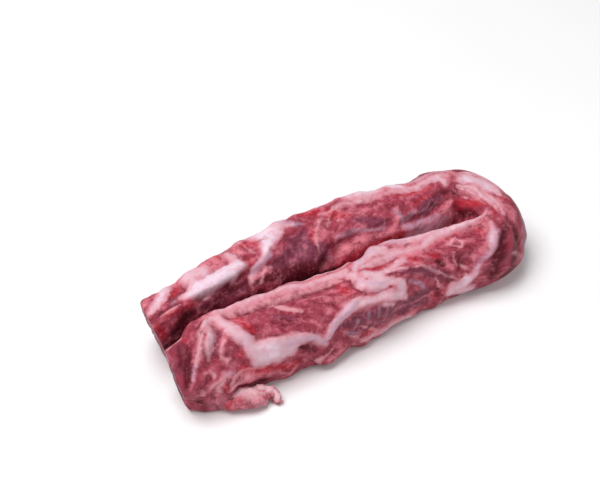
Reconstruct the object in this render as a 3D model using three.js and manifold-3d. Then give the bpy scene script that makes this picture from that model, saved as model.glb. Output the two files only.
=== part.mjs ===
// Raw beef rib finger: one long strip of meat, folded once like a hairpin.
// Millimetres, +Z up. The front limb lies towards -Y, the fold is at +X, the back limb lies towards +Y.
import * as THREE from "three";
import Module from "manifold-3d";

// Plan of the strip, followed along its middle line
const frontLimb = 140; // straight run before the fold
const backLimb = 135.5; // straight run after the fold
const foldRadius = 13.6; // middle line of the U-turn
const foldX = 62; // where the U-turn starts
const frontBow = 1.5; // how far each limb bows away from the slot
const backBow = 6.5;
const foldRun = Math.PI * foldRadius;
const stripLength = frontLimb + foldRun + backLimb;

// Cut ends: how round they are, and how far a cut leans for each millimetre outward or upward
const endRound = 4;
const endFace = 0.8; // the flat cut face, as a share of the section behind it
const endDome = 1.2; // how far the middle of a cut face stands out
const cutRun = 25; // length over which a leaning cut fades out
const frontCut = { outward: 0.05, upward: -0.18 };
const backCut = { outward: 0, upward: -0.2 };
const settle = 0.6; // how far the soft underside is pressed flat

// Mesh fineness
const along = 112;
const endRows = 4;
const around = 40;
const capRings = 4;

// Sections along the strip: half width away from the slot (outer) and towards it (inner), height, how far
// the top leans outward, and how square the section is (2 is an ellipse)
const sections = [
  { at: 0, outer: 7, inner: 12.5, high: 24, lean: -3, square: 2.8 },
  { at: 14, outer: 10, inner: 14.5, high: 31, lean: -5, square: 2.8 },
  { at: 27, outer: 9, inner: 14, high: 30, lean: -5, square: 3 },
  { at: 51, outer: 9, inner: 15, high: 28, lean: -3, square: 3 },
  { at: 78, outer: 10, inner: 15, high: 27.5, lean: -1, square: 3 },
  { at: 103, outer: 8, inner: 15.5, high: 27, lean: -1, square: 3 },
  { at: 125, outer: 9, inner: 12.5, high: 27, lean: -1, square: 2.8 },
  { at: 145, outer: 13, inner: 9.5, high: 27, lean: 0, square: 2.6 },
  { at: 163, outer: 15.5, inner: 9, high: 28, lean: 0, square: 2.4 },
  { at: 181, outer: 15, inner: 9.5, high: 30, lean: 1, square: 2.5 },
  { at: 198, outer: 14.5, inner: 12, high: 31, lean: 2, square: 2.7 },
  { at: 223, outer: 14, inner: 13, high: 31, lean: 3, square: 2.8 },
  { at: 253, outer: 13, inner: 14, high: 31.5, lean: 4, square: 2.8 },
  { at: 283, outer: 12, inner: 11.5, high: 31, lean: 2, square: 2.8 },
  { at: 303, outer: 11, inner: 9.5, high: 30, lean: 1, square: 2.8 },
  { at: 318, outer: 10, inner: 9, high: 28, lean: 0, square: 2.8 },
];

// Pads are rounded swellings (rise above 0) and hollows (below 0). Round the section, 0 degrees faces away
// from the slot, 90 is the top and 180 faces the slot. long is mm along the strip, wide is degrees round it,
// and firm pads have a flat top and a definite edge.
const pads = [
  // front limb
  { at: 19, turn: 64, long: 4, wide: 22, rise: -1.3 }, // dark hollow by the cut end
  { at: 26, turn: 74, long: 4, wide: 26, rise: 0.9 }, // pale roll beside it
  { at: 30, turn: 317, long: 7, wide: 20, rise: -2 }, // undercut above the flap
  { at: 39, turn: 24, long: 16, wide: 19, rise: 1.7, firm: true }, // large fat patch
  { at: 47, turn: 64, long: 20, wide: 16, rise: -0.8 }, // marbled face
  { at: 49, turn: 326, long: 5, wide: 16, rise: -1.6 }, // notch at the foot
  { at: 59, turn: 329, long: 8, wide: 20, rise: 2.6 }, // lobe at the foot
  { at: 69, turn: 24, long: 8, wide: 12, rise: -0.9 }, // purple hollow
  { at: 84, turn: 60, long: 8, wide: 17, rise: 1.3, firm: true }, // upper fat patch
  { at: 87, turn: 338, long: 14, wide: 18, rise: -1 }, // low red hollow
  { at: 95, turn: 36, long: 6, wide: 18, rise: 1.1, firm: true }, // lower fat patch
  { at: 97, turn: 123, long: 10, wide: 18, rise: 4.6 }, // knob on the slot edge
  { at: 107, turn: 95, long: 10, wide: 14, rise: 1 }, // bright red swelling
  { at: 109, turn: 34, long: 11, wide: 16, rise: -0.8 }, // purple meat
  { at: 122, turn: 346, long: 6, wide: 14, rise: 1.2, firm: true }, // fat at the foot of the fold
  { at: 126, turn: 69, long: 6, wide: 12, rise: 1 }, // pale corner
  { at: 131, turn: 33, long: 6, wide: 15, rise: -2.4 }, // red pocket by the fold
  // fold
  { at: 149, turn: 327, long: 5, wide: 16, rise: -2.2 }, // step at the foot
  { at: 153, turn: 26, long: 9, wide: 30, rise: -0.4 }, // dark outer meat
  { at: 161, turn: 338, long: 10, wide: 18, rise: 0.9 },
  { at: 171, turn: 66, long: 10, wide: 28, rise: 1.5, firm: true }, // fat cap
  { at: 175, turn: 146, long: 7, wide: 26, rise: -1.2 }, // red wall inside
  // back limb
  { at: 191, turn: 127, long: 12, wide: 18, rise: -1.4 }, // dark purple hollow
  { at: 203, turn: 45, long: 26, wide: 24, rise: 0.9 },
  { at: 206, turn: 150, long: 7, wide: 16, rise: 0.9 },
  { at: 219, turn: 118, long: 6, wide: 12, rise: -0.8 },
  { at: 231, turn: 159, long: 11, wide: 15, rise: 4, firm: true }, // roll in the slot
  { at: 233, turn: 14, long: 18, wide: 26, rise: -1 },
  { at: 243, turn: 56, long: 24, wide: 22, rise: -0.8 },
  { at: 253, turn: 139, long: 16, wide: 30, rise: 1.4 }, // large muscle
  { at: 265, turn: 106, long: 12, wide: 26, rise: 1.8, firm: true }, // white fat
  { at: 272, turn: 130, long: 4, wide: 18, rise: 1.1, firm: true }, // its tail
  { at: 273, turn: 95, long: 4, wide: 8, rise: -1.2 }, // red spot between the fats
  { at: 285, turn: 34, long: 22, wide: 26, rise: 0.8 },
  { at: 289, turn: 110, long: 12, wide: 13, rise: 1.9, firm: true }, // second white fat
  { at: 289, turn: 140, long: 12, wide: 20, rise: -2 }, // dark meat under it
  { at: 307, turn: 114, long: 6, wide: 20, rise: 1.2 }, // pink end
  { at: 309, turn: 146, long: 6, wide: 20, rise: -1 },
];

// Seams are long ridges (rise above 0) and creases (below 0) through points of [at, turn]; wide is in mm
const seams = [
  // front limb
  { through: [[14, 123], [10, 85], [6, 41]], wide: 2.4, rise: -1.6 }, // groove behind the cut corner
  { through: [[18, 121], [13, 81], [8, 44]], wide: 2.2, rise: 1.2 }, // thin pale fold
  { through: [[21, 111], [16, 64], [12, 41]], wide: 2.3, rise: -1.2 }, // dark groove beside it
  { through: [[23, 118], [19, 102], [22, 69], [17, 54], [19, 33]], wide: 2, rise: 0.8 }, // white arc
  { through: [[21, 126], [53, 124], [83, 124]], wide: 3.2, rise: 1.6 }, // pale rim along the slot
  { through: [[27, 113], [53, 109], [71, 95]], wide: 1.7, rise: -1 }, // crease under the rim
  { through: [[13, 44], [63, 47], [123, 44]], wide: 7, rise: -1.3 }, // outer top corner falls away
  { through: [[33, 41], [49, 346], [63, 341]], wide: 2, rise: -0.6 }, // lower edge of the fat
  { through: [[47, 346], [53, 329], [55, 316]], wide: 2, rise: -1.6 }, // notch at the foot
  { through: [[60, 14], [67, 37], [74, 53]], wide: 2.2, rise: 1.3 }, // fat streak
  { through: [[69, 42], [83, 38], [98, 19]], wide: 2.4, rise: 0.9 }, // band under the fat patches
  { through: [[105, 57], [115, 41], [123, 19]], wide: 1.8, rise: 0.8 }, // pale line
  { through: [[103, 123], [127, 114], [153, 102]], wide: 3, rise: 1.2 }, // lip that leads into the fold
  { through: [[135, 49], [127, 34], [128, 10]], wide: 1.8, rise: -1.2 }, // dark arc
  { through: [[149, 71], [142, 54], [138, 30], [127, 344]], wide: 2.4, rise: 1.5 }, // white streak
  // fold
  { through: [[153, 41], [149, 16], [153, 334]], wide: 2, rise: -1 },
  { through: [[165, 34], [169, 351], [163, 319]], wide: 2.2, rise: -1 },
  { through: [[183, 109], [175, 121], [165, 116]], wide: 2, rise: -1.4 }, // crease under the fat cap
  // back limb
  { through: [[179, 130], [193, 140], [209, 136]], wide: 2, rise: -1.2 },
  { through: [[209, 106], [201, 124], [209, 139]], wide: 1.8, rise: 0.8 },
  { through: [[301, 67], [265, 66], [223, 71], [179, 74]], wide: 3.4, rise: 1 }, // rim of the back limb
  { through: [[229, 134], [239, 143], [246, 156]], wide: 2.2, rise: -2.6 }, // slit above the roll
  { through: [[221, 95], [237, 127]], wide: 1.8, rise: -0.7 }, // grooves between muscle bundles
  { through: [[229, 90], [246, 127]], wide: 1.8, rise: -0.7 },
  { through: [[239, 95], [257, 130]], wide: 1.8, rise: -0.6 },
  { through: [[249, 118], [265, 146]], wide: 1.8, rise: -0.7 },
  { through: [[299, 124], [281, 126], [265, 133]], wide: 2, rise: -1.2 }, // lower edge of the fat
  { through: [[305, 102], [299, 124], [305, 143]], wide: 2, rise: -1.2 }, // crease by the cut end
];
const mmPerDegree = 0.3; // girth of the strip, about 108 mm, over a full turn

// Soft unevenness of the whole strip: waves of growing pace
const waves = 7;
const waveRise = 0.55;
const slowestWave = 0.0185; // turns for each mm
const waveStep = 0.0085;

// Loose flap that lies on the table by the front cut end
const flapPath = [[-71, -18, 4.6], [-55, -21.5, 4.2], [-42.5, -30.6, 3]];
const flapHalfWide = [6.5, 5.4, 3.6];
const flapHalfHigh = [4.4, 4, 2.6];
const flapSteps = 26;
const flapAround = 16;
const flapRound = 0.16; // share of the length that the round tips take
const flapRipple = 0.35;
const flapFloor = 0.35; // lowest point of the flap above the table

const fullTurn = Math.PI * 2;

function clamp(value, low, high) {
  return Math.min(high, Math.max(low, value));
}

// Smooth curve through the values of one column of the sections
function sectionValue(at, key) {
  const last = sections.length - 1;
  const where = clamp(at, sections[0].at, sections[last].at);
  let i = 0;
  while (i < last - 1 && where >= sections[i + 1].at) i += 1;
  const slope = (j) => {
    const before = sections[Math.max(0, j - 1)];
    const after = sections[Math.min(last, j + 1)];
    return (after[key] - before[key]) / (after.at - before.at);
  };
  const width = sections[i + 1].at - sections[i].at;
  const t = (where - sections[i].at) / width;
  const fromStart = (2 * t ** 3 - 3 * t ** 2 + 1) * sections[i][key] + (t ** 3 - 2 * t ** 2 + t) * width * slope(i);
  const fromEnd = (3 * t ** 2 - 2 * t ** 3) * sections[i + 1][key] + (t ** 3 - t ** 2) * width * slope(i + 1);
  return fromStart + fromEnd;
}

// Middle line in plan
function middle(at) {
  const sinceFold = at - frontLimb;
  if (sinceFold < 0) {
    const bow = frontBow * Math.sin((Math.PI * Math.max(at, 0)) / frontLimb) ** 2;
    return new THREE.Vector2(foldX + sinceFold, -foldRadius - bow);
  }
  if (sinceFold > foldRun) {
    const left = stripLength - at;
    const bow = backBow * Math.sin((Math.PI * Math.max(left, 0)) / backLimb) ** 2;
    return new THREE.Vector2(foldX - (sinceFold - foldRun), foldRadius + bow);
  }
  const angle = sinceFold / foldRadius - Math.PI / 2;
  return new THREE.Vector2(foldX + foldRadius * Math.cos(angle), foldRadius * Math.sin(angle));
}

function turnBetween(turn, other) {
  return ((((turn - other + 180) % 360) + 360) % 360) - 180;
}

// Distance in mm, on the skin of the strip, from a spot to the line between two points
function skinDistance(at, turn, start, end) {
  const spot = new THREE.Vector2(at - start[0], turnBetween(turn, start[1]) * mmPerDegree);
  const line = new THREE.Vector2(end[0] - start[0], turnBetween(end[1], start[1]) * mmPerDegree);
  const share = clamp(spot.dot(line) / line.lengthSq(), 0, 1);
  return spot.sub(line.multiplyScalar(share)).length();
}

function padRise(at, turn) {
  let sum = 0;
  for (const pad of pads) {
    const reach = ((at - pad.at) / pad.long) ** 2 + (turnBetween(turn, pad.turn) / pad.wide) ** 2;
    sum += pad.rise * Math.exp(-(pad.firm ? reach ** 2 : reach));
  }
  return sum;
}

function seamRise(at, turn) {
  let sum = 0;
  for (const seam of seams) {
    let nearest = Infinity;
    for (let i = 1; i < seam.through.length; i += 1) {
      nearest = Math.min(nearest, skinDistance(at, turn, seam.through[i - 1], seam.through[i]));
    }
    sum += seam.rise * Math.exp(-((nearest / seam.wide) ** 2));
  }
  return sum;
}

function waveRiseAt(at, angle) {
  let sum = 0;
  for (let k = 1; k <= waves; k += 1) {
    const pace = slowestWave + waveStep * (k - 1);
    const wave = fullTurn * at * pace + 2.4 * k;
    const swing = Math.sin(wave + ((k % 3) + 1) * angle) * Math.cos(0.6 * wave + k - ((k % 4) + 1) * angle);
    sum += (waveRise / Math.sqrt(k)) * swing;
  }
  return sum;
}

// One point of the strip's skin, at mm along and angle round the section
function skin(at, angle) {
  const turn = THREE.MathUtils.radToDeg(angle);
  const c = Math.cos(angle);
  const s = Math.sin(angle);
  const square = sectionValue(at, "square");
  const reach = (Math.abs(c) ** square + Math.abs(s) ** square) ** (-1 / square);
  const high = sectionValue(at, "high");
  const half = sectionValue(at, c > 0 ? "outer" : "inner");
  const relief = padRise(at, turn) + seamRise(at, turn) + waveRiseAt(at, angle);
  const fromEnd = Math.min(at, stripLength - at) / endRound;
  const rounding = fromEnd < 1 ? endFace + (1 - endFace) * Math.sqrt(1 - (1 - fromEnd) ** 2) : 1;
  let outward = (half * reach + relief) * c * rounding;
  const upward = ((high / 2) * reach + relief) * s * rounding;
  outward += sectionValue(at, "lean") * (upward / high);

  // the cuts at both ends lean, and the lean fades out along the strip
  const front = Math.max(0, 1 - at / cutRun) ** 1.5;
  const back = Math.max(0, 1 - (stripLength - at) / cutRun) ** 1.5;
  const raised = upward - settle;
  const shift =
    front * (frontCut.outward * outward + frontCut.upward * raised) -
    back * (backCut.outward * outward + backCut.upward * raised);

  const centre = middle(at);
  const ahead = middle(at + 0.5).sub(middle(at - 0.5)).normalize();
  return new THREE.Vector3(
    centre.x + ahead.y * outward + ahead.x * shift,
    centre.y - ahead.x * outward + ahead.y * shift,
    Math.max(0, raised + high / 2),
  );
}

// Where the rings of points lie along the strip, closer together at the round ends
function ringPlaces() {
  const places = [];
  for (let i = 0; i < endRows; i += 1) places.push(endRound * (1 - Math.cos((Math.PI / 2) * (i / endRows))));
  for (let i = 0; i <= along; i += 1) places.push(endRound + ((stripLength - 2 * endRound) * i) / along);
  for (let i = endRows - 1; i >= 0; i -= 1) places.push(stripLength - places[i]);
  return places;
}

// A closed skin of rings with `count` points each, closed by a point at both ends
function closedMesh(rings, firstPoint, lastPoint) {
  const count = rings[0].length;
  const points = [...rings.flat(), firstPoint, lastPoint];
  const first = points.length - 2;
  const last = points.length - 1;
  const lastRing = (rings.length - 1) * count;
  const triangles = [];
  for (let j = 0; j < count; j += 1) {
    const k = (j + 1) % count;
    triangles.push(first, j, k);
    triangles.push(last, lastRing + k, lastRing + j);
    for (let i = 0; i < rings.length - 1; i += 1) {
      const a = i * count + j;
      const b = i * count + k;
      triangles.push(a, b + count, b);
      triangles.push(a, a + count, b + count);
    }
  }
  return { points, triangles };
}

// Smaller rings that close a cut end, with the middle standing out a little
function capRingsFor(ring, outFrom) {
  const middlePoint = new THREE.Vector3();
  for (const point of ring) middlePoint.addScaledVector(point, 1 / ring.length);
  const rings = [];
  for (let i = 1; i < capRings; i += 1) {
    const share = 1 - i / capRings;
    const dome = endDome * Math.sqrt(1 - share ** 2);
    rings.push(ring.map((point) => {
      const spot = middlePoint.clone().lerp(point, share).addScaledVector(outFrom, dome);
      return spot.setZ(Math.max(0, spot.z));
    }));
  }
  return { rings, tip: middlePoint.clone().addScaledVector(outFrom, endDome) };
}

function stripMesh() {
  const rings = ringPlaces().map((at) =>
    Array.from({ length: around }, (_, j) => skin(at, (fullTurn * j) / around)),
  );
  const front = capRingsFor(rings[0], new THREE.Vector3(-1, 0, 0));
  const back = capRingsFor(rings[rings.length - 1], new THREE.Vector3(-1, 0, 0));
  return closedMesh([...front.rings.reverse(), ...rings, ...back.rings], front.tip, back.tip);
}

// Value of a quadratic curve through three control values
function curve(values, t) {
  return (1 - t) ** 2 * values[0] + 2 * t * (1 - t) * values[1] + t ** 2 * values[2];
}

function flapMesh() {
  const path = new THREE.QuadraticBezierCurve3(...flapPath.map((point) => new THREE.Vector3(...point)));
  const rings = [];
  for (let i = 1; i < flapSteps; i += 1) {
    const t = (1 - Math.cos((Math.PI * i) / flapSteps)) / 2;
    const edge = Math.min(1, Math.min(t, 1 - t) / flapRound);
    const round = Math.sqrt(1 - (1 - edge) ** 2);
    const centre = path.getPoint(t);
    const ahead = path.getTangent(t);
    const side = new THREE.Vector3(ahead.y, -ahead.x, 0).normalize();
    rings.push(Array.from({ length: flapAround }, (_, j) => {
      const angle = (fullTurn * j) / flapAround;
      const ripple = flapRipple * Math.sin(9 * t + 2 * angle) * Math.cos(17 * t + angle);
      const wide = (curve(flapHalfWide, t) + ripple) * round;
      const high = (curve(flapHalfHigh, t) + ripple) * round;
      const point = centre.clone().addScaledVector(side, wide * Math.cos(angle));
      return point.setZ(Math.max(flapFloor, centre.z + high * Math.sin(angle)));
    }));
  }
  return closedMesh(rings, path.getPoint(0), path.getPoint(1));
}

const wasm = await Module();
wasm.setup();

function toSolid({ points, triangles }) {
  const vertProperties = new Float32Array(points.flatMap((point) => point.toArray()));
  const triVerts = new Uint32Array(triangles);
  return new wasm.Manifold(new wasm.Mesh({ numProp: 3, vertProperties, triVerts }));
}

function toGeometry(solid) {
  const { vertProperties, triVerts } = solid.getMesh();
  const geometry = new THREE.BufferGeometry();
  geometry.setAttribute("position", new THREE.BufferAttribute(new Float32Array(vertProperties), 3));
  geometry.setIndex(new THREE.BufferAttribute(new Uint32Array(triVerts), 1));
  geometry.computeVertexNormals();
  return geometry;
}

// Raw meat: dark pink red, moist
const meat = new THREE.MeshStandardMaterial({ color: 0xa8505f, roughness: 0.42, metalness: 0 });

const ribFinger = new THREE.Mesh(toGeometry(toSolid(stripMesh()).add(toSolid(flapMesh()))), meat);
ribFinger.name = "rib_finger";

// The strip stands with the middle of its box over the origin
const box = new THREE.Box3().setFromObject(ribFinger);
ribFinger.position.set(-(box.min.x + box.max.x) / 2, -(box.min.y + box.max.y) / 2, -box.min.z);

const model = new THREE.Group();
model.add(ribFinger);

export default model;
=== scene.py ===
# Raw beef rib finger: one long strip of meat, folded once like a hairpin, lying on a pale table
import bpy
import math
import numpy as np
from mathutils import Matrix, Vector


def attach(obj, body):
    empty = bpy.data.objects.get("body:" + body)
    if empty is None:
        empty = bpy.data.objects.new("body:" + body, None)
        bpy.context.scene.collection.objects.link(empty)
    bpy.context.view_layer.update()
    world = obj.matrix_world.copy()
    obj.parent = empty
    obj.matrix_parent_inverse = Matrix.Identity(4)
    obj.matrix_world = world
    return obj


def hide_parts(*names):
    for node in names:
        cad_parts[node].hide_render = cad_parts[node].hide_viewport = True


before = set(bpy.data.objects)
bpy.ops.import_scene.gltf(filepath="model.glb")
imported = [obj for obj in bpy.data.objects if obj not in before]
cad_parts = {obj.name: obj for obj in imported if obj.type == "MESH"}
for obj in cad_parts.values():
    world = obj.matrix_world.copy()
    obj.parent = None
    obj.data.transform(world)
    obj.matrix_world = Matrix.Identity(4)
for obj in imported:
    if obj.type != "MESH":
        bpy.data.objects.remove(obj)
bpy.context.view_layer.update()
mm = 0.001
fullTurn = 2 * math.pi
print("frame loaded")


# The strip, in millimetres. It follows the solid's plan, sections, pads and seams, and goes further

plan = {
    "frontLimb": 140.0,  # straight run before the fold
    "backLimb": 135.5,  # straight run after the fold
    "foldRadius": 13.6,  # middle line of the U-turn
    "foldX": 62.0,
    "frontBow": 1.5,  # how far each limb bows away from the slot
    "backBow": 6.5,
    "endRound": 2.4,
    "endFace": 0.91,  # flat cut face, as a share of the section behind it
    "endDome": 0.7,
    "cutRun": 25.0,  # length over which a leaning cut fades out
    "cutFade": 1.5,
    "frontCut": (-0.19, -0.18),  # lean of the cut for each mm outward and upward
    "backCut": (0.12, -0.25),
    "settle": 0.6,  # how far the soft underside is pressed flat
    "mmPerDegree": 0.3,
    "lookAhead": 0.5,  # mm each way over which the strip's direction is measured
}
foldRun = math.pi * plan["foldRadius"]
stripLength = plan["frontLimb"] + foldRun + plan["backLimb"]

# at, outer half, inner half, height, lean, squareness
sections = [
    (0, 8, 12.5, 27, -4, 2.8),
    (14, 10, 14.5, 31, -5, 2.8),
    (27, 9, 14, 30, -5, 3),
    (51, 9, 15, 28, -3, 3),
    (78, 10, 15, 27.5, -1, 3),
    (103, 8, 15.5, 27, -1, 3),
    (125, 9, 12.5, 27, -1, 2.8),
    (145, 13.8, 9.5, 27.4, 0, 2.6),
    (163, 16.8, 9, 29, 0, 2.5),
    (181, 16, 9.5, 30.8, 1, 2.5),
    (198, 14.5, 12, 31, 2, 2.7),
    (223, 14, 13, 31, 3, 2.8),
    (253, 13, 14, 31.5, 4, 2.8),
    (283, 12, 11.5, 31, 2, 2.8),
    (303, 11, 9.5, 30, 1, 2.8),
    (318, 10.5, 9.5, 30, 0, 2.8),
]

# Pads are swellings (rise above 0) and hollows (below 0). Round the section, 0 degrees faces away from the
# slot, 90 is the top and 180 faces the slot. A firm pad has a flat top and a definite edge.
# at, turn, mm along, degrees round, rise, firm
pads = [
    # front limb
    (-1, 316, 7, 28, -5.2, False),  # the cut end is undercut
    (19, 64, 4, 22, -1.3, False),  # dark hollow by the cut end
    (26, 74, 4, 26, 0.9, False),  # pale roll beside it
    (30, 317, 7, 20, -2, False),  # undercut above the flap
    (39, 24, 16, 19, 1.7, True),  # large fat patch
    (46, 138, 30, 20, 3.0, False),  # rim that leans over the slot
    (47, 64, 20, 16, -0.8, False),  # marbled face
    (49, 326, 5, 16, -1.6, False),  # notch at the foot
    (59, 329, 8, 20, 2.6, False),  # lobe at the foot
    (69, 24, 8, 12, -0.9, False),  # purple hollow
    (85, 62, 9, 18, 1.1, False),  # upper fat patch
    (87, 338, 14, 18, -1, False),  # low red hollow
    (88, 134, 7, 14, -1.2, False),  # the rim falls back before the knob
    (95, 36, 6, 18, 1.1, True),  # lower fat patch
    (97, 123, 10, 18, 4.6, False),  # knob on the slot edge
    (107, 95, 10, 14, 1, False),  # bright red swelling
    (109, 34, 11, 16, -0.8, False),  # purple meat
    (122, 346, 6, 14, 1.2, True),  # fat at the foot of the fold
    (126, 69, 6, 12, 1, False),  # pale corner
    (131, 33, 6, 15, -2.4, False),  # red pocket by the fold
    (138, 110, 8, 12, 0.9, False),  # lip over the slot
    # fold
    (147, 344, 10, 26, 2.2, False),  # fullest side of the fold
    (149, 327, 5, 16, -2.2, False),  # step at the foot
    (153, 26, 9, 30, -0.4, False),  # dark outer meat
    (161, 338, 10, 18, 0.9, False),
    (171, 66, 10, 28, 1.5, True),  # fat cap
    (175, 146, 7, 26, -1.2, False),  # red wall inside
    # back limb
    (191, 127, 12, 18, -1.4, False),  # dark purple hollow
    (203, 45, 26, 24, 0.9, False),
    (206, 150, 7, 16, 0.9, False),
    (212, 62, 14, 22, 0.8, False),  # the top of the back limb, fuller from here to its end
    (219, 118, 6, 12, -0.8, False),
    (231, 159, 11, 15, 4, True),  # roll in the slot
    (233, 14, 18, 26, -1, False),
    (236, 64, 22, 24, 1.5, False),
    (243, 56, 24, 22, -0.8, False),
    (253, 139, 16, 30, 1.4, False),  # large muscle
    (252, 158, 24, 22, 3.0, False),  # and its swelling into the slot
    (265, 106, 12, 26, 1.8, True),  # white fat
    (272, 130, 4, 18, 1.1, True),  # its tail
    (273, 95, 4, 8, -1.2, False),  # red spot between the fats
    (285, 34, 22, 26, 0.8, False),
    (289, 110, 12, 13, 1.9, True),  # second white fat
    (289, 140, 12, 20, -2, False),  # dark meat under it
    (292, 66, 22, 26, 1.7, False),
    (307, 114, 6, 20, 1.2, False),  # pink end
    (309, 146, 6, 20, -1, False),
]

# Seams are long ridges (rise above 0) and creases (below 0) through points of (at, turn)
# points, mm wide, rise
seams = [
    # front limb
    ([(14, 123), (10, 85), (6, 41)], 2.4, -1.6),  # groove behind the cut corner
    ([(18, 121), (13, 81), (8, 44)], 2.2, 1.2),  # thin pale fold
    ([(21, 111), (16, 64), (12, 41)], 2.3, -1.2),  # dark groove beside it
    ([(23, 118), (19, 102), (22, 69), (17, 54), (19, 33)], 2, 0.8),  # white arc
    ([(21, 126), (53, 124), (83, 124)], 3.2, 0.8),  # pale rim along the slot
    ([(27, 113), (53, 109), (71, 95)], 1.7, -1),  # crease under the rim
    ([(13, 44), (63, 47), (123, 44)], 7, -1.3),  # outer top corner falls away
    ([(33, 41), (49, 346), (63, 341)], 2, -0.6),  # lower edge of the fat
    ([(47, 346), (53, 329), (55, 316)], 2, -1.6),  # notch at the foot
    ([(60, 14), (67, 37), (74, 53)], 2.2, 1.3),  # fat streak
    ([(69, 42), (83, 38), (98, 19)], 2.4, 0.9),  # band under the fat patches
    ([(105, 57), (115, 41), (123, 19)], 1.8, 0.8),  # pale line
    ([(103, 123), (127, 114), (153, 102)], 3, 1.2),  # lip that leads into the fold
    ([(135, 49), (127, 34), (128, 10)], 1.8, -1.2),  # dark arc
    ([(149, 71), (142, 54), (138, 30), (127, 344)], 2.4, 1.5),  # white streak
    # fold
    ([(153, 41), (149, 16), (153, 334)], 2, -1),
    ([(165, 34), (169, 351), (163, 319)], 2.2, -1),
    ([(183, 109), (175, 121), (165, 116)], 2, -1.4),  # crease under the fat cap
    # back limb
    ([(179, 130), (193, 140), (209, 136)], 2, -1.2),
    ([(209, 106), (201, 124), (209, 139)], 1.8, 0.8),
    ([(301, 67), (265, 66), (223, 71), (179, 74)], 3.4, 1),  # rim of the back limb
    ([(229, 134), (239, 143), (246, 156)], 2.2, -2.6),  # slit above the roll
    ([(221, 95), (237, 127)], 1.8, -0.7),  # grooves between muscle bundles
    ([(229, 90), (246, 127)], 1.8, -0.7),
    ([(239, 95), (257, 130)], 1.8, -0.6),
    ([(249, 118), (265, 146)], 1.8, -0.7),
    ([(299, 124), (281, 126), (265, 133)], 2, -1.2),  # lower edge of the fat
    ([(305, 102), (299, 124), (305, 143)], 2, -1.2),  # crease by the cut end
]

fineness = {
    "along": 430,
    "endRows": 9,
    "seenStep": 1.5,  # degrees between columns on the top and the sides
    "underStep": 4.0,  # and underneath
    "seenFrom": -52,
    "seenTo": 200,
    "capRings": 16,
    "seamTurn": 270,  # the first and last columns meet under the strip
    "seamBlend": 10,  # degrees over which the muscle bundles fade out there
}

# Relief that is too fine for the solid, in mm
relief = {
    "lumpSize": 6.0,
    "lumpRise": 0.4,
    "grainSize": 2.1,  # small uneven grains all over
    "grainRise": 0.12,
    "bundleWide": 3.4,  # muscle bundles, across and along the fibres
    "bundleLong": 11.0,
    "bundleRise": 0.14,
    "bundleSwell": 1.5,
    "bendSize": 7.0,  # the bundles sway
    "bend": 2.2,
    "fatRise": 0.24,  # fat stands out from the muscle
    "swellFrom": -0.3,  # depth at which fat and pale lines start to rise
    "fatRun": 1.4,
    "paleRun": 0.7,
    "fatEdge": 0.05,  # the fat has a small crease round it
    "fatEdgeAt": -0.2,
    "fatEdgeWide": 0.45,
    "calmFat": 0.5,  # how much of the grains and bundles the fat covers
    "plainFat": 0.85,
    "fatSpread": 0.25,  # added to each stroke of fat
    "creaseWide": 1.05,
    "creaseDeep": 0.55,
    "ridgeWide": 1.3,
    "ridgeRise": 0.28,
    "paleRise": 0.1,
    "deepSink": 0.15,  # the skin lies lower under the deep strokes: dark meat, and painted shade in the slot
}
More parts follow.
